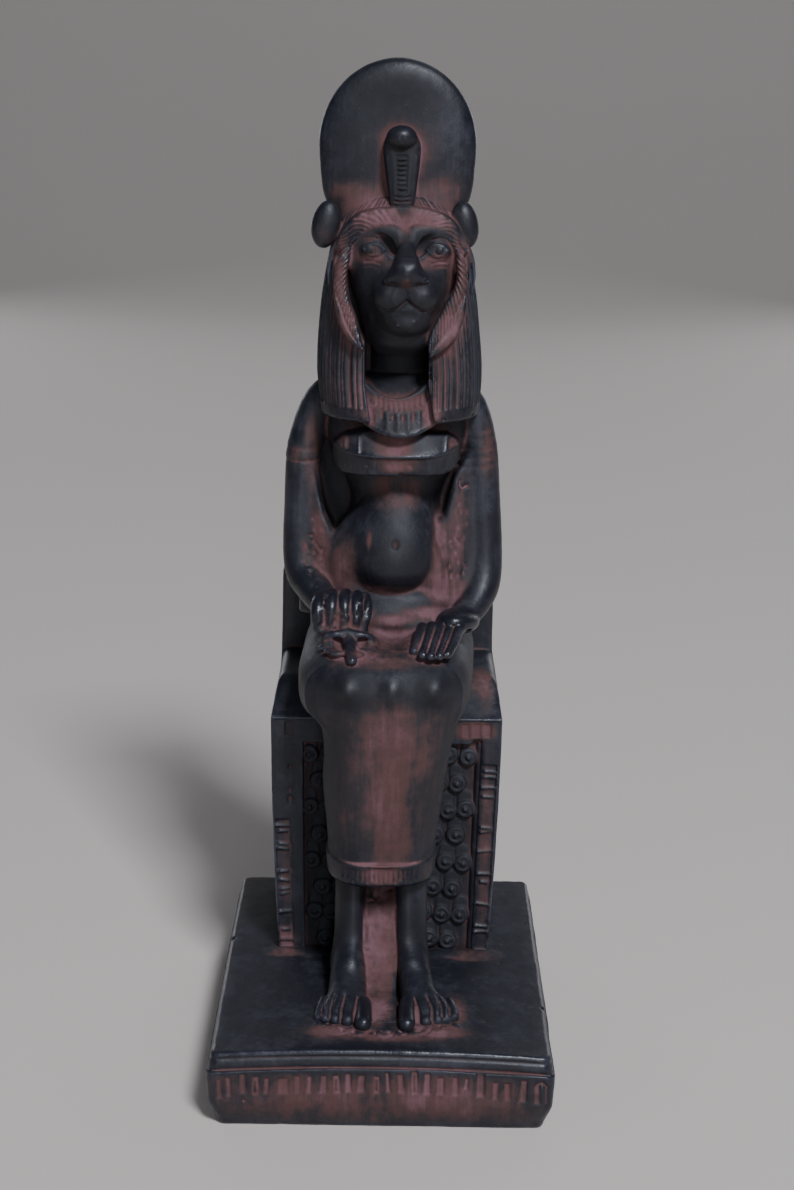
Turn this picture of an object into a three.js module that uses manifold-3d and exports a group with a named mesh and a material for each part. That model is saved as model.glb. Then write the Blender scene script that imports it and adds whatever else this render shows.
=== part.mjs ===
// A seated lioness-headed goddess on a block throne, cast in one piece with its plinth.
// Millimetres. X is across, -Y is the front, +Z is up, and the origin is under the plinth's middle.
import * as THREE from "three";
import { mergeVertices } from "three/addons/utils/BufferGeometryUtils.js";
import Module from "manifold-3d";

const wasm = await Module();
wasm.setup();

// Driving sizes. The throne and the plinth are real sizes of their own.
const throne = {
  topWidth: 57.5,
  footWidth: 55.4,
  depth: 43,
  postWidth: 6,
  lintelHeight: 6,
  panelRecess: 2.4,
  chamfer: 4.4,
  backThickness: 9.5,
  backHeight: 25,
  backTaper: 1,
};
const plinth = {
  height: 19.5,
  sideMargin: 11.6,
  frontMargin: 10.5,
  backMargin: 4,
  edge: 1.2,
  mouldingHeight: 3.8,
  mouldingStep: 0.5,
};
const sidePanel = { border: 5, depth: 0.9, squareSize: 17, squareStep: 0.6 };
const rosette = { radius: 2.55, pitchAcross: 4.7, pitchUp: 7.1, height: 1.1, sides: 6 };
const strokes = { width: 1.5, gap: 1.35, height: 6.6, depth: 0.5, topGap: 1.6, endMargin: 3.5 };
const postBars = { pitch: 6.4, height: 1.1, relief: 0.45, inset: 1.1 };
const figureHeight = 220.5;

// The figure's own numbers below are drawn for this height, from the plinth's top to the disc's top.
const DRAWN_HEIGHT = 220.5;
const scale = figureHeight / DRAWN_HEIGHT;
const drawn = { toeTip: -44.5, seat: 66.5 };

// Sizes that follow from the driving ones.
const seatTop = drawn.seat * scale;
const plinthWidth = throne.topWidth + 2 * plinth.sideMargin;
const plinthDepth =
  plinth.frontMargin - drawn.toeTip * scale + throne.depth + plinth.backMargin;
const throneFront = plinthDepth / 2 - plinth.backMargin - throne.depth;

// A vector in the figure's drawn frame: origin at the plinth's top, on the throne's front face.
const at = (x, y, z) => new THREE.Vector3(x, y, z);

// A closed three.js geometry as a solid.
function solid(geometry) {
  const bare = geometry.index ? geometry.toNonIndexed() : geometry.clone();
  bare.deleteAttribute("normal");
  bare.deleteAttribute("uv");
  const merged = mergeVertices(bare, 1e-4);
  const vertProperties = merged.attributes.position.array;
  const triVerts = new Uint32Array(merged.index.array);
  const made = new wasm.Manifold(new wasm.Mesh({ numProp: 3, vertProperties, triVerts }));
  if (made.volume() > 0) return made;
  for (let i = 0; i < triVerts.length; i += 3)
    [triVerts[i + 1], triVerts[i + 2]] = [triVerts[i + 2], triVerts[i + 1]];
  return new wasm.Manifold(new wasm.Mesh({ numProp: 3, vertProperties, triVerts }));
}

const join = (solids) => solids.reduce((all, next) => all.add(next));

// A soft hump: 1 at 0, and near 0 beyond 2.
const bell = (t) => Math.exp(-t * t);

// Skins a row of rings, each with as many points, and closes both ends.
function loft(rings) {
  const sides = rings[0].length;
  const points = rings.flat();
  const index = [];
  for (let r = 0; r + 1 < rings.length; r++)
    for (let i = 0; i < sides; i++) {
      const a = r * sides + i;
      const b = r * sides + ((i + 1) % sides);
      index.push(a, b, b + sides, a, b + sides, a + sides);
    }
  for (const [ring, first, turn] of [
    [rings[0], 0, false],
    [rings.at(-1), (rings.length - 1) * sides, true],
  ]) {
    const middle = points.length;
    points.push(ring.reduce((sum, p) => sum.add(p), at(0, 0, 0)).divideScalar(sides));
    for (let i = 0; i < sides; i++) {
      const a = first + i;
      const b = first + ((i + 1) % sides);
      index.push(...(turn ? [middle, a, b] : [middle, b, a]));
    }
  }
  const geometry = new THREE.BufferGeometry().setFromPoints(points);
  geometry.setIndex(index);
  return solid(geometry);
}

// A point of a superellipse: power 2 is an ellipse, and more is squarer.
function superPoint(angle, rx, ry, power) {
  const c = Math.cos(angle);
  const s = Math.sin(angle);
  const bend = (v) => Math.sign(v) * Math.abs(v) ** (2 / power);
  return [rx * bend(c), ry * bend(s)];
}

// Angles for a ring with its own number of points in the front half and in the back half.
function turns(front, back) {
  const half = (count, start) => Array.from({ length: count }, (_, i) => start + (Math.PI * i) / count);
  return [...half(back, 0), ...half(front, Math.PI)];
}

// Level sections, each [z, middle x, middle y, half width, half depth, power].
// ripple scales a point by its number, and push moves the front of the ring out towards -Y.
function stack(sections, angles, ripple = () => 1, push = () => 0) {
  return loft(
    sections.map(([z, cx, cy, rx, ry, power = 2]) =>
      angles.map((angle, i) => {
        const [x, y] = superPoint(angle, rx, ry, power);
        const front = Math.max(0, -y / ry);
        return at(cx + x * ripple(i), cy + y * ripple(i) - push(cx + x, z) * Math.min(1, front * 3), z);
      }),
    ),
  );
}

// Upright sections across the figure, each [y, middle x, half width, bottom z, top z, power].
function spanDeep(sections, sides) {
  return loft(
    sections.map(([y, cx, rx, low, high, power = 2]) =>
      Array.from({ length: sides }, (_, i) => {
        const [x, z] = superPoint((2 * Math.PI * i) / sides, rx, (high - low) / 2, power);
        return at(cx + x, y, (low + high) / 2 + z);
      }),
    ),
  );
}

// A round limb through stations of [x, y, z, radius], with a smooth line between them.
function limb(stations, sides, steps = 2, flatten = 1) {
  const line = new THREE.CatmullRomCurve3(stations.map(([x, y, z]) => at(x, y, z)));
  const count = (stations.length - 1) * steps;
  const side = at(1, 0, 0);
  return loft(
    Array.from({ length: count + 1 }, (_, j) => {
      const t = j / count;
      const here = line.getPoint(t);
      const along = line.getTangent(t);
      side.addScaledVector(along, -side.dot(along)).normalize();
      const up = along.clone().cross(side);
      const before = stations[Math.min(Math.floor(j / steps), stations.length - 2)][3];
      const after = stations[Math.min(Math.floor(j / steps) + 1, stations.length - 1)][3];
      const share = j === count ? 1 : (j % steps) / steps;
      const radius = before + (after - before) * share;
      return Array.from({ length: sides }, (_, i) => {
        const angle = (2 * Math.PI * i) / sides;
        return here
          .clone()
          .addScaledVector(side, radius * Math.cos(angle))
          .addScaledVector(up, radius * flatten * Math.sin(angle));
      });
    }),
  );
}

// An ellipsoid, turned about its own middle by Euler angles in degrees.
function egg([x, y, z], [rx, ry, rz], across = 10, tall = 6, turn = [0, 0, 0]) {
  const geometry = new THREE.SphereGeometry(1, across, tall);
  geometry.rotateX(Math.PI / 2);
  geometry.scale(rx, ry, rz);
  const [tx, ty, tz] = turn.map(THREE.MathUtils.degToRad);
  geometry.rotateX(tx).rotateY(ty).rotateZ(tz);
  geometry.translate(x, y, z);
  return solid(geometry);
}

// A box from its lowest to its highest corner.
function block(low, high) {
  const size = high.map((v, i) => v - low[i]);
  const geometry = new THREE.BoxGeometry(...size);
  geometry.translate(...low.map((v, i) => v + size[i] / 2));
  return solid(geometry);
}

// A level slab whose outline changes evenly from its foot to its top.
function taperedBlock(foot, top) {
  const corners = ([x0, x1, y0, y1, z]) => [
    at(x0, y0, z),
    at(x1, y0, z),
    at(x1, y1, z),
    at(x0, y1, z),
  ];
  return loft([corners(foot), corners(top)]);
}

// A disc with a stepped profile, lying against a wall that faces -Y.
function boss(x, y, z, profile, sides) {
  const geometry = new THREE.LatheGeometry(
    profile.map(([r, h]) => new THREE.Vector2(r, h)),
    sides,
  );
  geometry.rotateX(Math.PI);
  geometry.translate(x, y, z);
  return solid(geometry);
}

// The plinth: a low block with a bevelled top edge, a plain fillet and a row of strokes in front.
function makePlinth() {
  const halfX = plinthWidth / 2;
  const halfY = plinthDepth / 2;
  const { height, edge, mouldingHeight, mouldingStep } = plinth;
  const outline = (inset, z) => [
    at(-halfX + inset, -halfY + inset, z),
    at(halfX - inset, -halfY + inset, z),
    at(halfX - inset, halfY - inset, z),
    at(-halfX + inset, halfY - inset, z),
  ];
  const body = loft([
    outline(edge, 0),
    outline(0, edge),
    outline(0, height - mouldingHeight - mouldingStep / 2),
    outline(mouldingStep, height - mouldingHeight),
    outline(mouldingStep, height - edge),
    outline(mouldingStep + edge / 2, height),
  ]);
  const pitch = strokes.width + strokes.gap;
  const room = plinthWidth - 2 * strokes.endMargin;
  const count = Math.max(1, Math.floor((room + strokes.gap) / pitch));
  const start = (-count * pitch + strokes.gap) / 2;
  const top = height - mouldingHeight - strokes.topGap;
  const row = Array.from({ length: count }, (_, i) => {
    const x = start + i * pitch;
    const short = (i % 3) * 0.12 * strokes.height;
    return block(
      [x, -halfY - edge, top - strokes.height + short],
      [x + strokes.width, -halfY + strokes.depth, top],
    );
  });
  return row.reduce((rest, cut) => rest.subtract(cut), body);
}

// Half the throne's width at a height above the plinth.
const throneHalf = (z) =>
  (throne.footWidth + ((throne.topWidth - throne.footWidth) * z) / (seatTop - throne.chamfer)) / 2;

// The throne: a block with front posts, a lintel, a chamfered seat and a low back.
function makeThrone() {
  const { depth, chamfer, postWidth, lintelHeight, panelRecess } = throne;
  const ledge = seatTop - chamfer;
  const top = throneHalf(ledge) - chamfer / 2;
  const foot = throneHalf(0);
  const body = loft(
    [
      [foot, 0, -plinth.edge],
      [foot, 0, 0],
      [throneHalf(ledge), 0, ledge],
      [top, chamfer / 2, seatTop],
    ].map(([half, lean, z]) => [
      at(-half, lean, z),
      at(half, lean, z),
      at(half, depth, z),
      at(-half, depth, z),
    ]),
  );
  const { backThickness, backHeight, backTaper } = throne;
  const back = taperedBlock(
    [-top, top, depth - backThickness, depth, ledge],
    [-top + backTaper, top - backTaper, depth - backThickness + backTaper, depth, seatTop + backHeight],
  );
  const frontPanel = taperedBlock(
    [-foot + postWidth, foot - postWidth, -1, panelRecess, 0.6],
    [
      -throneHalf(ledge) + postWidth,
      throneHalf(ledge) - postWidth,
      -1,
      panelRecess,
      ledge - lintelHeight,
    ],
  );
  return [-1, 1]
    .reduce((rest, side) => rest.subtract(sidePanelCut(side, ledge)), body)
    .subtract(frontPanel)
    .add(back);
}

// The shallow framed panel in a side of the throne, with a small square left standing at its back.
function sidePanelCut(side, ledge) {
  const { border, depth, squareSize, squareStep } = sidePanel;
  const far = throne.topWidth;
  const slab = (inset, y0, y1, z0, z1) => {
    const inner = (z) => side * (throneHalf(z) - inset);
    const ends = (z) => [Math.min(inner(z), side * far), Math.max(inner(z), side * far)];
    return taperedBlock([...ends(z0), y0, y1, z0], [...ends(z1), y0, y1, z1]);
  };
  const panel = slab(depth, border, throne.depth - border, border, ledge - border);
  const squareFront = throne.depth - border - squareSize;
  const square = slab(-1, squareFront, throne.depth, 0, border + squareSize);
  const sunk = slab(
    depth,
    squareFront + squareStep * 3,
    throne.depth - border - squareStep * 3,
    border + squareStep * 3,
    border + squareSize - squareStep * 3,
  );
  return panel.subtract(square).add(sunk);
}

// Rosettes in staggered rows on the sunk front panels, and short bars down both posts.
function throneCarving() {
  const { radius, pitchAcross, pitchUp, height, sides } = rosette;
  const ledge = seatTop - throne.chamfer;
  const top = ledge - throne.lintelHeight;
  const rows = Math.floor((top - 2 * radius) / pitchUp) + 1;
  const profile = [
    [0, -0.4],
    [radius, -0.4],
    [radius * 0.72, height],
    [0, height * 0.5],
  ];
  const pieces = [];
  for (const side of [-1, 1]) {
    for (let row = 0; row < rows; row++) {
      const z = radius + 0.2 + row * pitchUp;
      const wall = throneHalf(z) - throne.postWidth - radius + 0.4;
      for (let column = 0; column < 2; column++) {
        const x = wall - (column + ((row + 1) % 2) / 2) * pitchAcross;
        pieces.push(boss(side * x, throne.panelRecess, z, profile, sides));
      }
    }
    const bars = Math.floor((ledge - 2) / postBars.pitch);
    for (let bar = 0; bar < bars; bar++) {
      const z = 2 + bar * postBars.pitch;
      const outer = throneHalf(z) - postBars.inset;
      const inner = throneHalf(z) - throne.postWidth + postBars.inset;
      const ends = [side * inner, side * outer].sort((a, b) => a - b);
      pieces.push(
        block([ends[0], -postBars.relief, z], [ends[1], 0.6, z + postBars.height]),
      );
    }
  }
  return pieces;
}

// The lap with its two knees and the sheath skirt down to its hem, with the fill behind the shins.
function makeSkirt() {
  const kneeDrop = (x, z) => {
    const knees = [-8.8, 10].map((knee) => 1.5 * bell((x - knee) / 5.4) * bell((z - 79) / 6));
    const shins = [-7.6, 8].map((shin) => 0.7 * bell((x - shin) / 5) * bell((z - 52) / 26));
    return knees[0] + knees[1] + shins[0] + shins[1];
  };
  const skirt = stack(
    [
      [27.6, -0.8, -11.5, 12.2, 13, 2.5],
      [28.4, -0.8, -11.6, 12.9, 13.6, 2.5],
      [33.8, -0.8, -11.8, 13.5, 14, 2.5],
      [34.2, -0.8, -11.8, 13.1, 13.6, 2.5],
      [52, -0.4, -12.6, 14.8, 14.4, 2.5],
      [68, 0.9, -13.2, 16.6, 14.9, 2.5],
      [72.4, -0.1, -12.8, 18.9, 15.6, 2.5],
      [77.6, -0.3, -12.4, 19.8, 16, 2.4],
      [82, -0.2, -11.4, 18.8, 15, 2.3],
      [85.4, 0, -9, 15, 10.8, 2.2],
    ],
    turns(16, 6),
    () => 1,
    kneeDrop,
  );
  const lap = spanDeep(
    [
      [-19, -0.2, 19.4, 67, 84.6, 2.6],
      [-6, 0, 20.6, 64, 86.6, 2.8],
      [12, 0.6, 20.8, 62, 88.6, 2.8],
      [32, 0.8, 18, 62, 88, 2.4],
    ],
    16,
  );
  const behind = block([-10.5, -6, -1], [9.5, 3, 80]);
  return [skirt, lap, behind];
}

// A bare foot from heel to toes, with its leg up into the hem.
function makeLeg(ankleX, toeX, outward) {
  const shift = toeX - ankleX;
  const foot = spanDeep(
    [
      [-7, ankleX, 3.2, -5, 8, 2.2],
      [-15, ankleX, 4, -5, 12, 2.2],
      [-24, ankleX + shift * 0.3, 4.7, -5, 10.6, 2.2],
      [-30.5, ankleX + shift * 0.65, 5.6, -5, 6.4, 2.4],
      [-35, ankleX + shift * 0.9, 5.9, -5, 2.4, 2.6],
    ],
    10,
  );
  const leg = limb(
    [
      [ankleX, -13, 32, 4.1],
      [ankleX, -15.4, 20, 3.9],
      [ankleX, -16.4, 11, 4.1],
      [ankleX, -17.6, 5, 4.3],
    ],
    10,
    1,
  );
  const toes = [0, 1, 2, 3, 4].map((n) => {
    const x = toeX + outward * (-4.9 + n * 2.5);
    const radius = n ? 1.4 - n * 0.05 : 1.95;
    const tip = drawn.toeTip + n * 1.25;
    return limb(
      [
        [x - outward * (0.4 + n * 0.2), tip + 12.6 - n * 0.5, 4.6 - n * 0.25, radius],
        [x, tip + 4.4, radius * 1.3, radius * 1.08],
        [x, tip, radius * 0.7, radius * 0.75],
      ],
      6,
      1,
    );
  });
  return [foot, leg, ...toes];
}

// The sloping fill between the two legs, which stops short of the hem.
function makeLegFill() {
  const side = [
    [2, -1],
    [-41.4, -1],
    [-40.6, 1.6],
    [-29, 5.5],
    [-22, 11],
    [-18, 21],
    [-12, 24],
    [-8, 30],
    [2, 30],
  ];
  const shape = new THREE.Shape(side.map(([y, z]) => new THREE.Vector2(y, z)));
  const geometry = new THREE.ExtrudeGeometry(shape, { depth: 9, bevelEnabled: false });
  geometry.rotateX(Math.PI / 2).rotateZ(Math.PI / 2);
  geometry.translate(-5.1, 0, 0);
  return solid(geometry);
}

// Trunk, belly with its navel, the dress's upper border, the neck and a plain pillar at the back.
function makeTrunk() {
  const trunk = stack(
    [
      [76, 0.8, 15, 17.6, 15.6, 2.4],
      [92, 1, 15.2, 15.4, 13.6, 2.3],
      [106, 1.2, 14.6, 12.6, 11.6, 2.1],
      [118, 1.4, 13.6, 13.2, 11.8, 2.1],
      [128, 1.5, 12.8, 16.8, 12.6, 2.2],
      [137, 1.6, 12.6, 18, 12.4, 2.3],
      [144, 1.6, 12.8, 15.4, 9.6, 2.2],
      [148.5, 1.6, 12.4, 9.5, 7.6, 2],
    ],
    turns(8, 6),
  );
  const belly = egg([1.9, 4, 107.5], [11, 10.6, 15.4], 12, 8);
  const navel = egg([1.7, -6.6, 108.2], [0.7, 1.4, 1.5], 5, 4);
  const border = stack(
    [
      [123.8, 1.6, 8, 14.2, 13.4, 2.7],
      [124.8, 1.6, 8, 15.2, 15, 2.8],
      [129.6, 1.5, 8, 15.9, 15.8, 2.8],
      [130, 1.5, 8, 15.3, 15.2, 2.8],
      [133.6, 1.5, 8, 14.4, 13.4, 2.7],
    ],
    turns(10, 4),
  );
  const neck = stack(
    [
      [132, 1.6, 5.6, 9.4, 11.6],
      [144, 1.6, 6.6, 8.6, 9.2],
      [158, 1.8, 6.4, 8.2, 8.2],
    ],
    turns(8, 4),
  );
  const pillar = taperedBlock([-9, 10, 20, 33.4, 66], [-7.4, 9.4, 20, 30.4, 140]);
  return { body: [trunk, belly, border, neck, pillar], cuts: [navel] };
}

// The broad collar on the chest, with a ledge and a row of drops under it.
function makeCollar() {
  const plate = stack(
    [
      [134.2, 2, 5, 10.6, 13.2, 2.2],
      [135, 2, 5, 10.8, 13.8, 2.2],
      [138.8, 1.9, 5.2, 10.6, 12.8, 2.2],
      [139.2, 1.9, 5.4, 10.4, 12, 2.2],
      [143.6, 1.8, 5.8, 9.6, 9.8, 2.1],
    ],
    turns(10, 4),
  );
  const drops = [-3, -2, -1, 0, 1, 2, 3].map((n) => {
    const x = 2 + n * 2.05;
    return egg([x, -8.3 + n * n * 0.21, 137], [0.75, 0.9, 1.4], 4, 4);
  });
  return [plate, ...drops];
}

// Both arms, and the fill that joins them to the trunk.
function makeArms() {
  const left = limb(
    [
      [-12.5, 12, 144.6, 2.8],
      [-17, 12, 140, 4.2],
      [-20, 11.5, 132, 4.4],
      [-21.3, 11, 126, 4.3],
      [-21.7, 10.4, 114, 4.3],
      [-21.7, 9.4, 104, 4.5],
      [-20.9, 7, 98, 4.5],
      [-18.2, 1.6, 95, 4],
      [-15, -4, 92.4, 3.4],
    ],
    9,
    1,
  );
  const right = limb(
    [
      [15.5, 12, 144, 2.8],
      [19.2, 12, 138.6, 4.2],
      [21.6, 11.5, 129, 4.4],
      [22.6, 11, 118, 4.3],
      [23.3, 10.2, 107, 4.4],
      [23.3, 9, 99.6, 4.6],
      [22.7, 6.6, 95, 4.4],
      [20.6, 2.8, 91.2, 3.8],
      [17.6, -1.6, 89, 3.1],
    ],
    9,
    1,
  );
  const fill = stack(
    [
      [76, 0.5, 20, 20.4, 8.4, 3],
      [118, 0.8, 17.6, 20.4, 5.6, 3],
      [134, 1, 16.6, 18.6, 5, 3],
      [142, 1.2, 16, 14, 4.4, 3],
    ],
    turns(6, 6),
  );
  const fillRight = taperedBlock([8, 21.5, 8, 22, 84], [12, 20.5, 9.4, 20, 126]);
  return [left, right, fill, fillRight];
}

// A fist on the thigh, with the lower end of the looped cross that it holds.
function makeFist() {
  const palm = egg([-12.8, -7.4, 91], [6.6, 5.6, 5.4]);
  const fingers = [0, 1, 2, 3].map((n) => {
    const x = -17.4 + n * 2.9;
    return limb(
      [
        [x, -7.6, 96, 1.2],
        [x, -12.6, 93.6, 1.5],
        [x + 0.3, -13.2, 88.6, 1.4],
      ],
      5,
      1,
    );
  });
  const thumb = limb(
    [
      [-6.8, -6, 94, 1.4],
      [-5.8, -10.8, 91.4, 1.5],
      [-7.2, -12.6, 88, 1.1],
    ],
    5,
    1,
  );
  const shaft = limb(
    [
      [-8.9, -12, 88.8, 1.9],
      [-8.6, -18, 86.6, 1.4],
      [-8.2, -24.6, 84.2, 1.3],
    ],
    6,
    1,
  );
  const crossbar = limb(
    [
      [-14, -15, 84.6, 0.9],
      [-11.4, -16.4, 87, 1.2],
      [-6.4, -16.4, 87, 1.2],
      [-4.2, -14.6, 85, 0.9],
    ],
    5,
    1,
  );
  return [palm, ...fingers, thumb, shaft, crossbar];
}

// The other hand, flat on the thigh with its fingers together.
function makeFlatHand() {
  const palm = egg([15.6, -2, 87.6], [5.4, 7.6, 2.9], 10, 6, [-12, 0, -14]);
  const fingers = [0, 1, 2, 3].map((n) => {
    const x = 11.4 + n * 2.6;
    const reach = [0, 1.3, 1, -0.6][n];
    return limb(
      [
        [x, -4.6, 88.2, 1.45],
        [x - 1.5, -12, 86.6, 1.4],
        [x - 2.8, -18.4 - reach, 84.8, 1.1],
      ],
      6,
      1,
    );
  });
  const thumb = limb(
    [
      [11.4, -1, 87.6, 1.5],
      [8.8, -7.6, 86.6, 1.3],
      [7.6, -12, 85.8, 1],
    ],
    6,
    1,
  );
  return [palm, ...fingers, thumb];
}

// The striped wig, open in front round the face, throat and collar.
function makeWig() {
  const ripple = (i) => (i % 2 ? 0.965 : 1);
  const outer = stack(
    [
      [136.8, 2, 10.2, 19.1, 19.2, 2.5],
      [148, 1.8, 9.8, 19.8, 17.6, 2.5],
      [162, 1.5, 9.2, 18.8, 15.2, 2.4],
      [176, 1.4, 9, 16.6, 14, 2.2],
      [184.6, 1.4, 9.4, 14.4, 12.4, 2.1],
      [189.4, 1.3, 10, 10.4, 8.6, 2],
    ],
    turns(32, 12),
    ripple,
  );
  const opening = new THREE.Shape();
  const slot = { left: -5.6, right: 9.9, foot: 130, neck: 156 };
  opening.moveTo(slot.left, slot.foot);
  opening.lineTo(slot.right, slot.foot);
  opening.lineTo(slot.right, slot.neck);
  opening.absellipse(1.9, 170.6, 14.6, 15.4, -0.95, Math.PI + 0.95, false);
  opening.lineTo(slot.left, slot.neck);
  const cut = new THREE.ExtrudeGeometry(opening, {
    depth: 36,
    bevelEnabled: false,
    curveSegments: 12,
  });
  cut.rotateX(Math.PI / 2);
  cut.translate(0, 5.5, 0);
  return outer.subtract(solid(cut));
}

// One side of the mane ring that frames the face, with slanted locks along it.
function makeRuff(stations) {
  const steps = 3;
  const sides = 6;
  const line = new THREE.CatmullRomCurve3(stations.map(([x, y, z]) => at(x, y, z)));
  const count = (stations.length - 1) * steps;
  const forward = at(0, -1, 0);
  return loft(
    Array.from({ length: count + 1 }, (_, j) => {
      const t = j / count;
      const here = line.getPoint(t);
      const across = line.getTangent(t).cross(forward).normalize();
      const lock = j % 2 ? 0.9 : 1.08;
      const taper = 0.6 + 0.4 * Math.sin(Math.PI * Math.min(1, t * 1.15));
      return Array.from({ length: sides }, (_, i) => {
        const angle = (2 * Math.PI * i) / sides;
        return here
          .clone()
          .addScaledVector(across, 2.6 * taper * Math.cos(angle))
          .addScaledVector(forward, 4.6 * taper * lock * Math.sin(angle));
      });
    }),
  );
}

// The band of short locks over the brow, from ear to ear.
function makeFringe() {
  const centre = { x: 2, z: 171, radius: 13.6 };
  const first = 152;
  const last = 28;
  const stations = [0, 1, 2, 3, 4].map((n) => {
    const angle = THREE.MathUtils.degToRad(first + ((last - first) * n) / 4);
    return [centre.x + centre.radius * Math.cos(angle), 0, centre.z + centre.radius * Math.sin(angle)];
  });
  return makeRuff(stations);
}

// The lioness's face and ears: a mask, muzzle pads, chin, nose, brows and eyes.
function makeHead() {
  const middle = 2.9;
  const pair = (make) => [-1, 1].map(make);
  const mask = stack(
    [
      [154.5, middle - 0.6, 3.6, 5.6, 4.4, 2.2],
      [158.3, middle - 0.6, 3.6, 8.2, 8.4, 2.3],
      [163, middle - 0.6, 3.6, 10.2, 9.8, 2.3],
      [170, middle - 0.6, 3.6, 12.4, 10.2, 2.3],
      [177, middle - 0.6, 3.6, 12.8, 9.8, 2.3],
      [181.5, middle - 0.6, 3.6, 11.6, 10.2, 2.3],
      [185, middle - 0.6, 3.6, 9.4, 8.8, 2.2],
      [187.6, middle - 0.6, 3.6, 6.2, 5.4, 2.1],
    ],
    turns(12, 4),
  );
  const muzzle = spanDeep(
    [
      [-4, middle, 8.8, 158.4, 176, 2.3],
      [-9.4, middle, 7.4, 160, 174.6, 2.3],
      [-12.6, middle, 5, 162, 172.6, 2.1],
    ],
    12,
  );
  const pads = pair((side) => egg([middle + side * 3.2, -9.2, 168.8], [4.8, 5.6, 4.5]));
  const chin = egg([middle, -8.4, 162.4], [5.2, 5, 4.3]);
  const bridge = limb(
    [
      [middle, -6.6, 182.8, 2],
      [middle, -9.8, 178.8, 2.5],
      [middle, -12.6, 175, 3.2],
    ],
    8,
    1,
  );
  // Each [y, half width, bottom z, top z].
  const noseSections = [
    [-11, 4.8, 171.8, 175.8],
    [-14.2, 4.5, 171.6, 175.6],
    [-15.4, 3, 171.6, 174.4],
  ];
  const nose = loft(
    noseSections.map(([y, half, low, high]) => [
      at(middle - half * 0.4, y, low - 1.8),
      at(middle + half * 0.4, y, low - 1.8),
      at(middle + half, y, low + 0.8),
      at(middle + half * 0.7, y, high),
      at(middle - half * 0.7, y, high),
      at(middle - half, y, low + 0.8),
    ]),
  );
  const brows = pair((side) =>
    limb(
      [
        [middle + side * 2, -8, 180.4, 1.3],
        [middle + side * 5.6, -8.2, 182.8, 1.7],
        [middle + side * 10, -4.8, 180.8, 1.2],
      ],
      6,
      1,
    ),
  );
  const eyes = pair((side) => egg([middle + side * 7.4, -5.6, 178.2], [2.8, 2.1, 1.7], 8, 5));
  const ears = [
    egg([-15.4, 3.4, 182.8], [3.9, 3.2, 5.6], 9, 6),
    egg([16.3, 3.4, 183.2], [3.7, 3.2, 5.4], 9, 6),
  ];
  return [mask, muzzle, ...pads, chin, bridge, nose, ...brows, ...eyes, ...ears];
}

// The sun disc on the head, with the rearing cobra in front of it.
function makeDisc() {
  const middle = { x: 0.6, z: 200.8 };
  const half = 18.3;
  const tall = 19.7;
  // Each [share of the outline, y]. The outline is fuller below its middle.
  const rim = [
    [0.3, 4],
    [0.64, 4.6],
    [0.93, 6.6],
    [1, 8.7],
    [0.88, 10.8],
    [0.5, 12],
  ];
  const disc = loft(
    rim.map(([share, y]) =>
      turns(14, 16).map((angle) => {
        const [x, z] = superPoint(angle, half * share, tall * share, angle < Math.PI ? 2 : 2.4);
        return at(middle.x + x, y, middle.z + z);
      }),
    ),
  );
  const foot = stack(
    [
      [180, 0.8, 7, 14, 6],
      [188, 0.8, 7.4, 13.6, 4.6],
      [192, 0.8, 8, 12, 3.6],
    ],
    turns(6, 6),
  );
  const hood = stack(
    [
      [184, 1.9, 2.6, 2.9, 3.4],
      [190, 1.8, 2.2, 3.1, 2.6],
      [196, 1.7, 2, 3.9, 2],
      [201.5, 1.6, 2, 4.4, 1.9],
      [205, 1.5, 2.2, 3.4, 1.9],
    ],
    turns(6, 2),
  );
  const crown = egg([1.5, 1.4, 203.6], [3, 3.4, 2.6], 8, 6);
  const ladder = [0, 1, 2, 3, 4].map((n) =>
    block([0.3, -0.8, 189.6 + n * 2.2], [3.1, 2, 190.7 + n * 2.2]),
  );
  return [disc, foot, hood, crown, ...ladder];
}

// The whole figure in its drawn frame.
function makeFigure() {
  const trunk = makeTrunk();
  const ruffs = [
    [
      [-11.4, 1.4, 182],
      [-12.6, 0.8, 175],
      [-12.2, 0.4, 168],
      [-10.2, 0, 161],
      [-6.6, 0, 155],
    ],
    [
      [15.4, 1.4, 182],
      [16.4, 0.8, 175],
      [15.8, 0.4, 168],
      [13.6, 0, 161],
      [9.4, 0, 154.6],
    ],
  ];
  const body = join([
    ...trunk.body,
    ...makeCollar(),
    ...makeSkirt(),
    ...makeLeg(-8.3, -8.8, -1),
    ...makeLeg(6.6, 10.8, 1),
    makeLegFill(),
    ...makeArms(),
    ...makeFist(),
    ...makeFlatHand(),
    makeWig(),
    ...ruffs.map(makeRuff),
    makeFringe(),
    ...makeHead(),
    ...makeDisc(),
  ]);
  return trunk.cuts.reduce((rest, cut) => rest.subtract(cut), body);
}

// A solid as a three.js geometry.
function toGeometry(made) {
  const mesh = made.getMesh();
  const geometry = new THREE.BufferGeometry();
  geometry.setAttribute("position", new THREE.BufferAttribute(mesh.vertProperties, 3));
  geometry.setIndex(new THREE.BufferAttribute(mesh.triVerts, 1));
  return geometry;
}

const place = [0, throneFront, plinth.height];
const statueSolid = makePlinth()
  .add(join([makeThrone(), ...throneCarving()]).translate(place))
  .add(makeFigure().scale(scale).translate(place));

const castStone = new THREE.MeshStandardMaterial({
  name: "cast_stone",
  color: 0x17161b,
  roughness: 0.5,
  metalness: 0,
});

const statue = new THREE.Mesh(toGeometry(statueSolid), castStone);
statue.name = "statue";

const part = new THREE.Group();
part.add(statue);

export default part;
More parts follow.
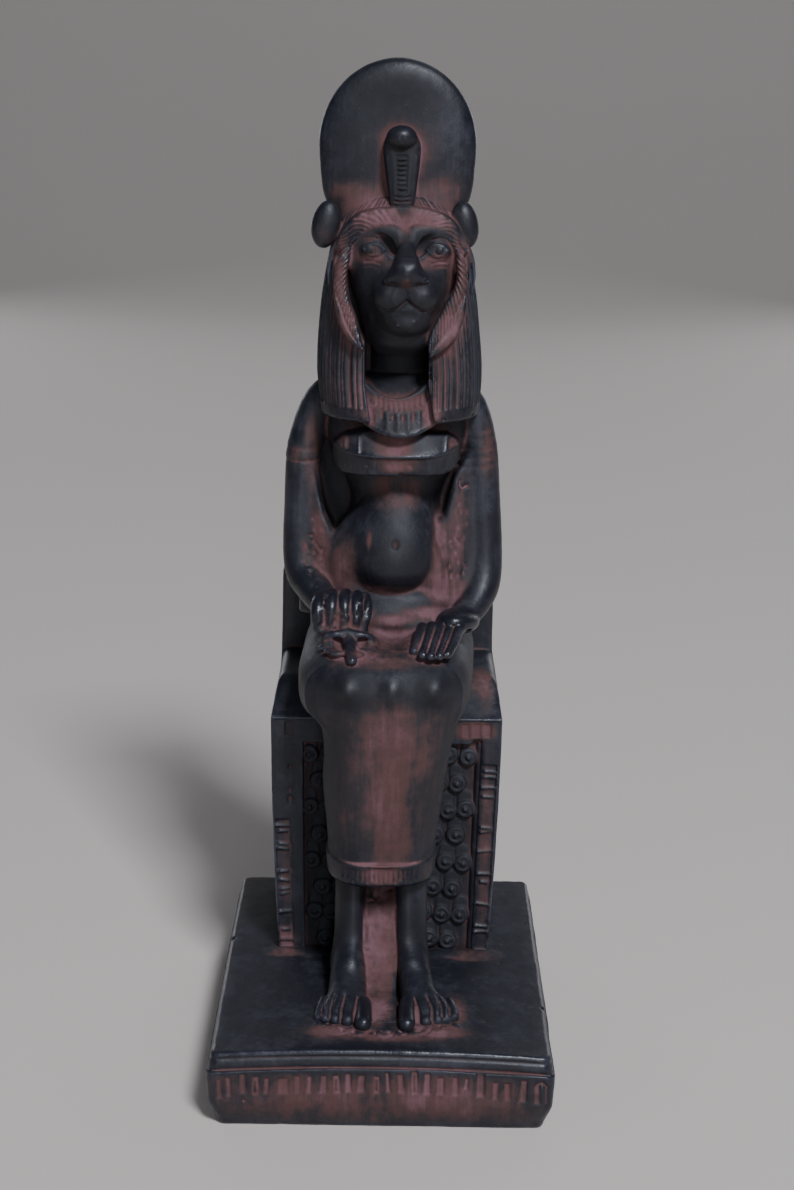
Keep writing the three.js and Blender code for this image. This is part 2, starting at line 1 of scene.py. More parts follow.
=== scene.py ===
"""A seated lioness-headed goddess, cast in black stone composite, on a block throne and plinth.

The figure is shaped as sampled distances in millimetres, negative inside, and skinned into meshes.
Shapes are drawn from the plinth's top, on the throne's front face: +X right, -Y front, +Z up.
"""

import math

import bmesh
import bpy
import numpy as np
from mathutils import Matrix, Vector


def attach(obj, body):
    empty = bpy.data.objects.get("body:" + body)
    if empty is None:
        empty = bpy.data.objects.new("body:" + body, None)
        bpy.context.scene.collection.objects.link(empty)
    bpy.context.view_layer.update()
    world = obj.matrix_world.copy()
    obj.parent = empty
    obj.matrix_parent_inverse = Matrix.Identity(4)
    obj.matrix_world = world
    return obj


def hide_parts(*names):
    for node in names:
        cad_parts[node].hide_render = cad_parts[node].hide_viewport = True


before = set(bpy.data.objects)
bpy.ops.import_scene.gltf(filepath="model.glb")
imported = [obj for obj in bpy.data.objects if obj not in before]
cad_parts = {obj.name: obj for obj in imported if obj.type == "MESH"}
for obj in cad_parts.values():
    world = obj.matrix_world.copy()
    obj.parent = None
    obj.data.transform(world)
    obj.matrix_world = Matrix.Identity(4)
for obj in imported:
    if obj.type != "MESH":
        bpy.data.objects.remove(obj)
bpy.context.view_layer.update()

# A factor on the sampling steps: above 1, the shapes are sampled more coarsely.
COARSE = 1.0
# The distance kept where nothing is near, and the room round a shape that its join may reach.
FAR = 9.0
MARGIN = 2.6
# The plinth's top on the throne's front face, in the frame's millimetres.
PLACE = np.array([0.0, 4.0, 19.5])
HALF_X = 40.35
FRONT = -55.0
BACK = 47.0
PLINTH = 19.5
THRONE_DEPTH = 43.0
DEGREES = 57.3


# Sampled distances.
def smooth_min(a, b, blend):
    if blend <= 0:
        return np.minimum(a, b)
    near = np.maximum(blend - np.abs(a - b), 0)
    return np.minimum(a, b) - near * near / (4 * blend)


def fade(value, start, end):
    """0 at start, 1 at end, smooth between."""
    t = np.clip((value - start) / (end - start), 0, 1)
    return t * t * (3 - 2 * t)


class Clay:
    """A box of sampled distances."""

    def __init__(self, low, high, step):
        self.step = step
        self.first = np.floor(np.array(low) / step).astype(int)
        self.count = np.ceil(np.array(high) / step).astype(int) - self.first + 1
        self.d = np.full(self.count, FAR, np.float32)

    def window(self, low, high, room=MARGIN):
        a = np.floor((np.array(low) - room) / self.step).astype(int) - self.first
        b = np.ceil((np.array(high) + room) / self.step).astype(int) - self.first + 1
        a, b = np.clip(a, 0, self.count), np.clip(b, 0, self.count)
        place = tuple(slice(i, j) for i, j in zip(a, b))
        lines = [
            ((np.arange(i, j) + f) * self.step).astype(np.float32)
            for i, j, f in zip(a, b, self.first)
        ]
        return place, lines[0][:, None, None], lines[1][None, :, None], lines[2][None, None, :]

    def gather(self, pieces):
        """The pieces joined sharply, with the place of their window."""
        low = np.min([p[1] for p in pieces], axis=0)
        high = np.max([p[2] for p in pieces], axis=0)
        whole = self.window(low, high)[0]
        made = np.full([s.stop - s.start for s in whole], FAR, np.float32)
        for shape, lo, hi in pieces:
            place, x, y, z = self.window(lo, hi)
            if any(s.stop <= s.start for s in place):
                continue
            inner = tuple(slice(s.start - w.start, s.stop - w.start) for s, w in zip(place, whole))
            made[inner] = np.minimum(made[inner], shape(x, y, z))
        return whole, made

    def add(self, pieces, blend=0.0):
        place, made = self.gather(pieces)
        self.d[place] = smooth_min(self.d[place], made, blend)
        return self

    def cut(self, pieces, blend=0.0):
        place, made = self.gather(pieces)
        self.d[place] = -smooth_min(-self.d[place], made, blend)
        return self

    def carve(self, low, high, depth):
        """Pushes the surface in by depth(x, y, z) inside a box."""
        place, x, y, z = self.window(low, high, 0)
        self.d[place] += depth(x, y, z)
        return self

    def front(self, x, z):
        """Where the surface is, coming from the front at x, z."""
        y = (np.arange(self.count[1]) + self.first[1]) * self.step
        d = self.at(np.stack([np.full(len(y), x), y, np.full(len(y), z)], axis=1))
        i = max(1, int(np.argmax(d < 0)))
        return float(y[i - 1] + self.step * d[i - 1] / (d[i - 1] - d[i]))

    def top(self, x, y, start):
        """Where the surface is, coming down from a height at x, y, or the plinth's top."""
        z = np.arange(start, 0, -self.step)
        d = self.at(np.stack([np.full(len(z), x), np.full(len(z), y), z], axis=1))
        return float(z[np.argmax(d < 0)]) if (d < 0).any() else 0.0

    def trace(self, line, radius, depth, blend=0.15, steps=1):
        """A groove along points [x, z] of the front surface, or a ridge where depth is negative."""
        sunk = depth > 0
        offset = depth - radius if sunk else depth + radius
        pieces = limb([[x, self.front(x, z) + offset, z, radius] for x, z in line], steps)
        return self.cut(pieces, blend) if sunk else self.add(pieces, blend)

    def pock(self, x, z, radii, blend=0.3):
        """A small dent in the front surface."""
        return self.cut(egg((x, self.front(x, z) - 0.3 * radii[1], z), radii), blend)

    def at(self, points):
        """Distances at points, between the samples."""
        f = np.array(points) / self.step - self.first
        i = np.clip(np.floor(f).astype(int), 0, self.count - 2)
        t = np.clip(f - i, 0, 1).astype(np.float32)
        value = np.zeros(len(f), np.float32)
        for corner in np.ndindex(2, 2, 2):
            share = np.ones(len(f), np.float32)
            for axis in range(3):
                share *= t[:, axis] if corner[axis] else 1 - t[:, axis]
            value += share * self.d[tuple((i + corner).T)]
        return value


def keyed(rows, places):
    """Values of rows [position, value, ...] on a smooth line that never overshoots."""
    rows = np.array(rows, float)
    if rows[0, 0] > rows[-1, 0]:
        rows = rows[::-1]
    t, v = rows[:, 0], rows[:, 1:]
    rise = np.diff(v, axis=0) / np.diff(t)[:, None]
    slope = np.zeros_like(v)
    slope[0], slope[-1] = rise[0], rise[-1]
    product = rise[:-1] * rise[1:]
    total = rise[:-1] + rise[1:]
    slope[1:-1] = np.where(product > 0, 2 * product / np.where(product > 0, total, 1), 0)
    places = np.asarray(places, float).ravel()
    i = np.clip(np.searchsorted(t, places) - 1, 0, len(t) - 2)
    wide = (t[i + 1] - t[i])[:, None]
    s = np.clip((places - t[i])[:, None] / wide, 0, 1)
    return (
        v[i] * (1 + 2 * s) * (1 - s) ** 2
        + v[i + 1] * s * s * (3 - 2 * s)
        + wide * (slope[i] * s * (1 - s) ** 2 - slope[i + 1] * s * s * (1 - s))
    ).astype(np.float32)


def super_distance(u, v, a, b, power):
    """About the distance to a superellipse, from coordinates that are shares of its radii."""
    u, v = np.abs(u) + 1e-4, np.abs(v) + 1e-4
    up, vp = u ** (power - 1), v ** (power - 1)
    total = up * u + vp * v
    size = total ** (1 / power)
    slope = np.sqrt((up / a) ** 2 + (vp / b) ** 2) * size / total
    return (size - 1) / np.maximum(slope, 0.5 / np.maximum(a, b))


def column(sections, push=None):
    """Through level sections [z, middle x, middle y, half width, half depth, power]."""
    rows = np.array([(list(r) + [2.0])[:6] for r in sections])
    z0, z1 = rows[:, 0].min(), rows[:, 0].max()
    low = [(rows[:, 1] - rows[:, 3]).min(), (rows[:, 2] - rows[:, 4]).min(), z0]
    high = [(rows[:, 1] + rows[:, 3]).max(), (rows[:, 2] + rows[:, 4]).max(), z1]

    def shape(x, y, z):
        cx, cy, rx, ry, power = (c[None, None, :] for c in keyed(rows, z).T)
        v = (y - cy) / ry
        d = super_distance((x - cx) / rx, v, rx, ry, power)
        if push is not None:
            d = d - push(x, z) * np.clip(-v * 3, 0, 1)
        return np.maximum(d, np.maximum(z - z1, z0 - z))

    return [(shape, low, high)]


def beam(sections):
    """Through upright sections across the figure: [y, middle x, half width, bottom z, top z, power]."""
    rows = np.array([(list(r) + [2.0])[:6] for r in sections])
    y0, y1 = rows[:, 0].min(), rows[:, 0].max()
    low = [(rows[:, 1] - rows[:, 2]).min(), y0, rows[:, 3].min()]
    high = [(rows[:, 1] + rows[:, 2]).max(), y1, rows[:, 4].max()]

    def shape(x, y, z):
        cx, rx, bottom, top, power = (c[None, :, None] for c in keyed(rows, y).T)
        rz = (top - bottom) / 2
        d = super_distance((x - cx) / rx, (z - bottom - rz) / rz, rx, rz, power)
        return np.maximum(d, np.maximum(y - y1, y0 - y))

    return [(shape, low, high)]


def smooth_line(stations, steps):
    """A smooth line through the stations, with steps points for each gap."""
    p = np.array(stations, float)
    p = np.concatenate([[2 * p[0] - p[1]], p, [2 * p[-1] - p[-2]]])
    line = []
    for a, b, c, d in zip(p, p[1:], p[2:], p[3:]):
        for t in np.arange(steps) / steps:
            square, cube = 2 * a - 5 * b + 4 * c - d, 3 * b - a - 3 * c + d
            line.append(0.5 * (2 * b + (c - a) * t + square * t**2 + cube * t**3))
    return np.array(line + [p[-2]])


def limb(stations, steps=3, flat=(1, 1, 1)):
    """Round, through stations [x, y, z, radius]. flat scales each axis about the first station."""
    line = smooth_line(stations, steps)
    base = line[0, :3].copy()
    scale = np.array(flat, float)

    def segment(a, b):
        a3, b3 = base + (a[:3] - base) / scale, base + (b[:3] - base) / scale
        along = b3 - a3
        long = along @ along

        def shape(x, y, z):
            px = (x - base[0]) / scale[0] + base[0] - a3[0]
            py = (y - base[1]) / scale[1] + base[1] - a3[1]
            pz = (z - base[2]) / scale[2] + base[2] - a3[2]
            t = np.clip((px * along[0] + py * along[1] + pz * along[2]) / long, 0, 1)
            far = (px - t * along[0]) ** 2 + (py - t * along[1]) ** 2 + (pz - t * along[2]) ** 2
            return (np.sqrt(far) - (a[3] + t * (b[3] - a[3]))) * min(scale)

        wide = max(a[3], b[3]) * scale
        return shape, np.minimum(a[:3], b[:3]) - wide, np.maximum(a[:3], b[:3]) + wide

    return [segment(a, b) for a, b in zip(line, line[1:])]


def egg(centre, radii, turn=(0, 0, 0)):
    """An ellipsoid, turned about its middle by degrees about X, then Y, then Z."""
    cx, cy, cz = centre
    rx, ry, rz = radii
    ax, ay, az = np.radians(turn)
    about_x = np.array([[1, 0, 0], [0, np.cos(ax), -np.sin(ax)], [0, np.sin(ax), np.cos(ax)]])
    about_y = np.array([[np.cos(ay), 0, np.sin(ay)], [0, 1, 0], [-np.sin(ay), 0, np.cos(ay)]])
    about_z = np.array([[np.cos(az), -np.sin(az), 0], [np.sin(az), np.cos(az), 0], [0, 0, 1]])
    m = (about_z @ about_y @ about_x).T.astype(np.float32)
    reach = np.sqrt(((m.T * np.array(radii)) ** 2).sum(axis=1))

    def shape(x, y, z):
        px, py, pz = x - cx, y - cy, z - cz
        if any(turn):
            px, py, pz = (m[i, 0] * px + m[i, 1] * py + m[i, 2] * pz for i in range(3))
        k0 = np.sqrt((px / rx) ** 2 + (py / ry) ** 2 + (pz / rz) ** 2)
        k1 = np.sqrt((px / rx**2) ** 2 + (py / ry**2) ** 2 + (pz / rz**2) ** 2)
        return k0 * (k0 - 1) / np.maximum(k1, 1e-3)

    return [(shape, np.array(centre) - reach, np.array(centre) + reach)]


def rounded(faces, radius):
    """Faces that stand in by a radius, joined with an edge of that radius."""
    out = np.sqrt(sum(np.maximum(face, 0) ** 2 for face in faces))
    inner = faces[0]
    for face in faces[1:]:
        inner = np.maximum(inner, face)
    return out + np.minimum(inner, 0) - radius


def brick(low, high, radius=0.0):
    """A box with rounded edges."""
    low, high = np.array(low, float), np.array(high, float)
    mid, half = (low + high) / 2, (high - low) / 2 - radius

    def shape(x, y, z):
        return rounded([np.abs(c - m) - h for c, m, h in zip((x, y, z), mid, half)], radius)

    return [(shape, low, high)]


def outline(corners, a, b):
    """Distance in a plane to a polygon, at coordinates a and b."""
    corners = np.array(corners, float)
    best = None
    inside = np.zeros(np.broadcast_shapes(a.shape, b.shape), bool)
    for (x0, y0), (x1, y1) in zip(corners, np.roll(corners, -1, axis=0)):
        ex, ey = x1 - x0, y1 - y0
        t = np.clip(((a - x0) * ex + (b - y0) * ey) / (ex * ex + ey * ey), 0, 1)
        far = (a - x0 - t * ex) ** 2 + (b - y0 - t * ey) ** 2
        best = far if best is None else np.minimum(best, far)
        if ey != 0:
            inside ^= ((y0 > b) != (y1 > b)) & (a < x0 + (b - y0) * ex / ey)
    return np.where(inside, -1, 1) * np.sqrt(best)


def prism(corners, axis, start, end, radius=0.0):
    """A polygon stretched along an axis. Its corners are [y, z], [x, z] or [x, y]."""
    flat = [i for i in range(3) if i != axis]
    corners = np.array(corners, float)
    low, high = np.zeros(3), np.zeros(3)
    low[flat], high[flat] = corners.min(axis=0), corners.max(axis=0)
    low[axis], high[axis] = start, end

    def shape(x, y, z):
        c = (x, y, z)
        side = outline(corners, c[flat[0]], c[flat[1]]) + radius
        ends = np.abs(c[axis] - (start + end) / 2) - (end - start) / 2 + radius
        return rounded([side, ends], radius)

    return [(shape, low, high)]


def hoop(centre, radius, thick):
    """A round wire ring that faces the front."""
    cx, cy, cz = centre

    def shape(x, y, z):
        r = np.sqrt((x - cx) ** 2 + (z - cz) ** 2) - radius
        return np.sqrt(r * r + (y - cy) ** 2) - thick

    wide = radius + thick
    return [(shape, (cx - wide, cy - thick, cz - wide), (cx + wide, cy + thick, cz + wide))]


def plate(edge, front, low, high, soft=0.5):
    """A sheet that faces the front, with an outline edge(x, z) and a front face front(x, z)."""

    def shape(x, y, z):
        d = -smooth_min(-edge(x, z), -(front(x, z) - y), soft)
        return np.maximum(d, y - high[1])

    return [(shape, low, high)]


def within(corners, radius=0.0):
    """The outline of a polygon of [x, z], as a distance."""
    return lambda x, z: outline(corners, x, z) - radius


def lumps(clay, spacing, seed):
    """Smooth unevenness, about -1 to 1, at a spacing in millimetres."""
    counts = (clay.count * clay.step / spacing).astype(int) + 4
    made = np.random.default_rng(seed).uniform(-1, 1, counts).astype(np.float32)
    for axis in range(3):
        f = np.arange(clay.count[axis]) * clay.step / spacing
        i = f.astype(int)
        t = (f - i).astype(np.float32)
        t = t * t * (3 - 2 * t)
        shaped = [1, 1, 1]
        shaped[axis] = -1
        t = t.reshape(shaped)
        made = np.take(made, i, axis) * (1 - t) + np.take(made, i + 1, axis) * t
    return made


# Skinning.
def skin(clay):
    """Vertices and quads of the surface where the distance is zero."""
    d = clay.d
    inside = d < 0
    shape = np.array(d.shape) - 1
    mixed = np.zeros(shape, np.uint8)
    for c in np.ndindex(2, 2, 2):
        mixed += inside[c[0] : shape[0] + c[0], c[1] : shape[1] + c[1], c[2] : shape[2] + c[2]]
    cells = np.argwhere((mixed > 0) & (mixed < 8))
    number = np.full(shape, -1, np.int32)
    number[tuple(cells.T)] = np.arange(len(cells))
    total = np.zeros((len(cells), 3), np.float32)
    count = np.zeros(len(cells), np.float32)
    for axis in range(3):
        others = [i for i in range(3) if i != axis]
        for p, q in np.ndindex(2, 2):
            corner = np.zeros(3, int)
            corner[others[0]], corner[others[1]] = p, q
            a = d[tuple((cells + corner).T)]
            corner[axis] = 1
            b = d[tuple((cells + corner).T)]
            cross = (a < 0) != (b < 0)
            t = np.where(cross, a / np.where(cross, a - b, 1), 0)
            spot = np.zeros((len(cells), 3), np.float32)
            spot[:, others[0]], spot[:, others[1]], spot[:, axis] = p, q, t
            total += spot * cross[:, None]
            count += cross
    points = (cells + total / count[:, None] + clay.first) * clay.step
    quads = []
    for axis in range(3):
        a = np.take(inside, range(d.shape[axis] - 1), axis)
        b = np.take(inside, range(1, d.shape[axis]), axis)
        edge = np.argwhere(a != b)
        one, two = [i for i in range(3) if i != axis]
        for way in (one, two):
            edge = edge[(edge[:, way] > 0) & (edge[:, way] < shape[way])]
        ring = []
        for p, q in ((1, 1), (0, 1), (0, 0), (1, 0)):
            cell = edge.copy()
            cell[:, one] -= p
            cell[:, two] -= q
            ring.append(number[tuple(cell.T)])
        ring = np.stack(ring, axis=1)
        outward = inside[tuple(edge.T)]
        flip = outward == (axis == 1)
        ring[flip] = ring[flip][:, ::-1]
        quads.append(ring)
    return points, np.concatenate(quads)


def blurred(values, radius):
    """A soft local mean, by running means along each axis, twice over."""
    for _ in range(2):
        for axis in range(3):
            pad = [(radius + 1, radius) if i == axis else (0, 0) for i in range(3)]
            total = np.cumsum(np.pad(values, pad, mode="edge"), axis=axis, dtype=np.float32)
            size = values.shape[axis]
            high = np.take(total, range(2 * radius + 1, 2 * radius + 1 + size), axis)
            values = (high - np.take(total, range(size), axis)) / (2 * radius + 1)
    return values


def fullness(clay, reach):
    """How much solid is near each sample: above a half in a hollow, below it on an edge."""
    made = Clay.__new__(Clay)
    made.step, made.first, made.count = clay.step, clay.first, clay.count
    made.d = blurred(np.clip(0.5 - clay.d / clay.step, 0, 1), max(1, round(reach / clay.step)))
    return made


# The plinth and the throne.
LEDGE = 62.1


def arch(x, y, z):
    """How far the plinth's front edge droops towards its corners."""
    return (0.45 - 1.35 * (x / 39) ** 2) * fade(y, -18, -50) * fade(z, -18, -9)


def barrel(z):
    """How far the plinth's sides stand in from its widest level."""
    return 0.55 * fade(z, -3.5, 0) + 2.1 * fade(z, -12, -21) + 0.25 * fade(z, -6, -12)


# The strokes on the plinth's front: [x, width, top z, bottom z].
STROKES = [
    [-37.2, 1.3, -6.4, -11.6], [-35.0, 1.1, -6.0, -11.2], [-31.8, 1.6, -5.2, -10.6],
    [-28.8, 1.6, -6.0, -11.0], [-26.3, 1.2, -6.5, -10.8], [-22.4, 2.3, -6.6, -10.8],
    [-19.1, 1.4, -6.1, -10.8], [-16.4, 1.2, -6.1, -10.8], [-13.1, 1.6, -5.9, -10.8],
    [-10.1, 1.6, -5.9, -10.8], [-7.4, 1.4, -5.5, -10.6], [-4.4, 1.8, -5.9, -10.6],
    [-0.8, 1.6, -5.9, -10.8], [1.7, 1.2, -5.0, -10.4], [4.7, 1.6, -5.4, -10.6],
    [7.9, 1.6, -4.6, -10.8], [10.8, 1.6, -5.0, -10.8], [13.9, 2.0, -5.9, -10.8],
    [17.3, 1.4, -5.7, -10.8], [19.8, 0.7, -6.2, -8.8], [23.1, 1.8, -4.8, -11.0],
    [26.6, 1.4, -6.8, -11.4], [29.4, 1.4, -6.8, -11.4], [33.1, 1.8, -5.5, -11.6],
    [36.2, 1.5, -6.8, -11.9], [38.4, 0.9, -7.2, -11.6],
]


def make_plinth():
    clay = Clay((-42, -57, -21), (42, 49, 2), 0.3 * COARSE)
    random = np.random.default_rng(5)
    mid_y, deep = (BACK + FRONT) / 2, (BACK - FRONT) / 2
    corner = 2.2

    def bent(pieces):
        return [(lambda x, y, z, s=s: s(x, y, z - arch(x, y, z)), lo, hi) for s, lo, hi in pieces]

    def body(x, y, z):
        z = z - arch(x, y, z)
        step_in = 0.5 * fade(z, -4.4, -3.6)
        inset = barrel(z) + step_in
        out_x = np.abs(x) - (HALF_X - inset) + corner
        out_y = np.abs(y - mid_y) - (deep - inset) + corner
        return -smooth_min(-rounded([out_x, out_y], corner), -z, 1.1)

    clay.add([(body, (-HALF_X, FRONT, -PLINTH - 1), (HALF_X, BACK, 0))])
    for z, radius, inset in ((-1.5, 0.34, 0.75), (-4.05, 0.36, 0.35)):
        for ax, ay, bx, by in ((-1, -1, 1, -1), (1, -1, 1, 1), (1, 1, -1, 1), (-1, 1, -1, -1)):
            ends = [
                [sx * (HALF_X - inset - 0.1), mid_y + sy * (deep - inset - 0.1), z, radius]
                for sx, sy in ((ax, ay), (bx, by))
            ]
            clay.cut(bent(limb(ends, 1)), 0.3)
    for i, (x, wide, top, foot) in enumerate(STROKES):
        lean = random.uniform(-0.15, 0.15)
        half = wide / 2 - 0.15
        slot = [
            [x - half + lean, foot + 0.3], [x + half + lean, foot + 0.4], [x + half - lean, top],
            [x - half - lean, top],
        ]
        depth = 0.34 if x < -12 else 0.5
        clay.cut(bent(prism(slot, 1, FRONT - 1, FRONT + depth + 0.12, 0.3)), 0.6)
        if wide > 1.5 and i % 3 == 0:
            rib = [[x, FRONT + depth, z, 0.3] for z in (top - 1.2, foot + 1.4)]
            clay.add(bent(limb(rib, 1)), 0.3)
    hook = [[x, FRONT + 0.1, z, 0.5] for x, z in ((36.2, -6.6), (37.4, -5.9), (38.5, -7))]
    clay.cut(bent(limb(hook, 2)), 0.3)
    # Chips at the lower front corners and along the top edge, and small pits.
    clay.cut(egg((-38.6, -54.6, -18.8), (2.4, 1.6, 2.0), (0, -30, 0)), 0.8)
    clay.cut(egg((38.8, -54.6, -18.2), (1.8, 1.6, 2.2), (0, 25, 0)), 0.6)
    clay.cut(egg((25.9, -55.2, -0.6), (0.7, 0.8, 0.7)), 0.4)
    clay.cut(egg((-31.5, -55.0, -12.6), (0.5, 0.7, 0.4)), 0.2)
    chips = (
        (-36, -54.6, -0.4, 0.7), (-20, -54.9, -0.3, 0.5), (8, -55, -0.2, 0.45),
        (39.6, -30, -0.3, 0.8), (-39.7, 6, -0.2, 0.9),
    )
    for x, y, z, size in chips:
        clay.cut(egg((x, y, z), (size * 1.5, size, size)), 0.4)
    for _ in range(34):
        x, y = random.uniform(-38, 38), random.uniform(-53, 44)
        clay.cut(egg((x, y, 0.15), random.uniform(0.25, 0.5, 3)), 0.2)
    for _ in range(16):
        x, z = random.uniform(-37, 37), random.uniform(-18, -12.5)
        clay.cut(egg((x, FRONT, z), random.uniform(0.2, 0.4, 3)), 0.2)
    # A low, rough heap of plaster round the toes and the throne's feet.
    heaps = [
        (-9, -40.5, 8.4, 5.6), (11.4, -40, 8.6, 5.4), (1, -42, 10, 3.4),
        (-24.6, -1.2, 5.6, 2.4), (23.4, -1.6, 6.4, 3), (17, -1.4, 6, 2), (-14, -2, 6, 2),
    ]
    for x, y, rx, ry in heaps:
        clay.add(egg((x, y, -0.25), (rx, ry, 0.95)), 0.9)
    for _ in range(90):
        angle, reach = random.uniform(3.4, 6.0), random.uniform(0.84, 1.14)
        x = 1.4 + 16.5 * reach * math.cos(angle)
        y = -38.5 + 7.6 * reach * math.sin(angle)
        size = random.uniform(0.3, 0.75)
        radii = (size, size * random.uniform(0.6, 1), 0.5 * size + 0.1)
        crumb = egg((x, y, 0.4), radii, (0, 0, 90 * random.random()))
        join = clay.add if random.random() < 0.55 else clay.cut
        join(crumb, 0.5)
    return clay


def throne_half(z):
    return 28.75 - 2.0 * np.clip(1 - z / LEDGE, 0, 1.1) ** 1.7


def rosette(clay, x, z, random):
    """A scale that hangs down, with a rough round button and a curl on its lower end."""
    lean, phase = random.uniform(-0.12, 0.12), random.uniform(0, 6.3, 3)

    def wavy(px, pz):
        angle = np.arctan2(pz - z, px - x)
        return 0.1 * np.sin(2 * angle + phase[0]) + 0.07 * np.sin(3 * angle + phase[1])

    def tongue(px, pz):
        up = np.clip(pz - z, 0, 3.2)
        return np.sqrt((px - x - lean * up) ** 2 + (pz - z - up) ** 2) - (2.3 - 0.12 * up)

    def button(px, pz):
        return np.sqrt((px - x) ** 2 + (pz - z) ** 2) - 2.42 - wavy(px, pz)

    def face(px, pz):
        return 0.95 + 0.05 * (pz - z) + 0.5 * wavy(px, pz)

    def scale_face(px, pz):
        return 1.8 + 0.05 * (pz - z)

    clay.add(plate(tongue, scale_face, (x - 2.5, 1.2, z - 2.5), (x + 2.5, 3, z + 5.9), 0.7), 0.2)
    clay.add(plate(button, face, (x - 2.8, 0.5, z - 2.8), (x + 2.8, 3, z + 2.8), 1.1), 0.2)
    curl = []
    for a in np.linspace(phase[2], phase[2] + 5.2, 9):
        reach = 1.5 - 0.09 * (a - phase[2])
        curl.append([x + reach * math.cos(a), 0.85, z + reach * math.sin(a), 0.34])
    clay.cut(limb(curl, 1), 0.2)
    clay.add(egg((x, 0.95, z), (0.6, 0.4, 0.6)), 0.2)


def make_throne():
    clay = Clay((-30.5, -2, -2.5), (30.5, 45, 93.5), 0.25 * COARSE)
    random = np.random.default_rng(9)
    half_top = throne_half(LEDGE)

    def block(x, y, z):
        half = np.minimum(throne_half(z), half_top - (z - LEDGE) * 0.19)
        lean = np.maximum(0, (z - LEDGE) * 1.2)
        side = -smooth_min(half - np.abs(x), y - lean * fade(z, LEDGE - 0.5, LEDGE + 1.5), 0.7)
        side = -smooth_min(-side, THRONE_DEPTH - y, 0.7)
        return -smooth_min(-side, 70.6 - z, 2.2)

    clay.add([(block, (-half_top, 0, -1), (half_top, THRONE_DEPTH, 71))])
    back = [[-28.2, -1], [27.4, -1], [27.4, 62], [27.2, 91.5], [-27.6, 91.5], [-28.2, 62]]
    clay.add(prism(back, 1, 33.5, THRONE_DEPTH, 1.0), 0.5)
    clay.add(limb([[-half_top + 0.5, 0.15, 62.3, 0.42], [half_top - 0.5, 0.15, 62.5, 0.42]], 1), 0.25)
    panel = [[-20.0, -2], [21.3, -2], [22.3, 56.1], [-20.7, 56.1]]
    clay.cut(prism(panel, 1, -2, 2.4, 0.3), 0.3)
    for side in (-1, 1):
        if side > 0:
            clay.cut(prism([[20.8, -2], [22.3, -2], [23.5, 56.7], [21.8, 56.7]], 1, -2, 1.0), 1.6)
        for row in range(8):
            z = 2.65 + row * 7.1
            outer = throne_half(z) - 8.05
            for across in range(4 + row % 2):
                x = side * (outer - 1.4 * (side < 0) - (across + ((row + 1) % 2) / 2) * 4.7)
                rosette(clay, x + random.uniform(-0.3, 0.3), z + random.uniform(-0.35, 0.35), random)
    for side, marks in (
        (-1, (2.6, 5.2, 10.1, 15.1, 16.4, 19.0, 21.2, 27.6, 28.8, 32.2, 33.6)),
        (1, (5.4, 7.1, 13.2, 19.2, 21.4, 27.4, 32.6, 33.9, 42.2, 44.6, 47.5, 48.9)),
    ):
        low_x, high_x, top = 24.6 * side, 25.8 * side, max(marks) + 1.5
        strip = [[low_x - 1.6, 0.8], [low_x + 1.6, 0.8], [high_x + 1.7, top], [high_x - 1.7, top]]
        clay.cut(prism(strip, 1, -2, 0.3), 0.6)
        for z in marks:
            x = low_x + (high_x - low_x) * z / top
            reach, high = random.uniform(0.8, 1.6), random.uniform(0.0, 0.12)
            tilt = random.uniform(-0.4, 0.4)
            clay.add(limb([[x - reach, 0.35 - high, z, 0.38], [x + reach, 0.4, z + tilt, 0.32]], 1), 0.6)
    for x0, x1 in ((18.9, 20.4), (21.4, 23.2), (24.3, 25.8), (-25.0, -22.9)):
        clay.cut(prism([[x0, 58.0], [x1, 58.0], [x1, 61.2], [x0, 61.2]], 1, -2, 0.24, 0.1), 0.4)
    # The side walls: a bordered field with a square at the lower back corner.
    for side in (-1, 1):
        far = throne_half(30) * side
        wall = sorted((far - 0.9 * side, far + 4 * side))
        clay.cut(brick((wall[0], 5, 5), (wall[1], 38, 57), 0.2), 0.3)
        shelf = sorted((far - 3 * side, far - 0.35 * side))
        clay.add(brick((shelf[0], 20.5, 4), (shelf[1], 39, 22.5), 0.3), 0.2)
        clay.cut(brick((wall[0], 22.6, 6.8), (wall[1], 36.2, 20.2), 0.2), 0.3)
    # Knocks along the posts' edges.
    for _ in range(46):
        side = random.choice([-1, 1])
        z = random.uniform(2, 52)
        x = side * (throne_half(z) if random.random() < 0.6 else 23.4 + z * 0.01)
        clay.cut(egg((x, -0.1, z), (random.uniform(0.3, 0.6), 0.4, random.uniform(0.4, 1.4))), 0.4)
    return clay


def lookup(part, x, y, z):
    """The part's own samples at the window of another clay with the same step."""
    index = [np.round(c.ravel() / part.step).astype(int) - f for c, f in zip((x, y, z), part.first)]
    made = np.full([len(i) for i in index], FAR, np.float32)
    keep = [(i >= 0) & (i < n) for i, n in zip(index, part.count)]
    made[np.ix_(*keep)] = part.d[np.ix_(*[i[k] for i, k in zip(index, keep)])]
    return made


# The body.
def bell(t):
    return np.exp(-t * t)


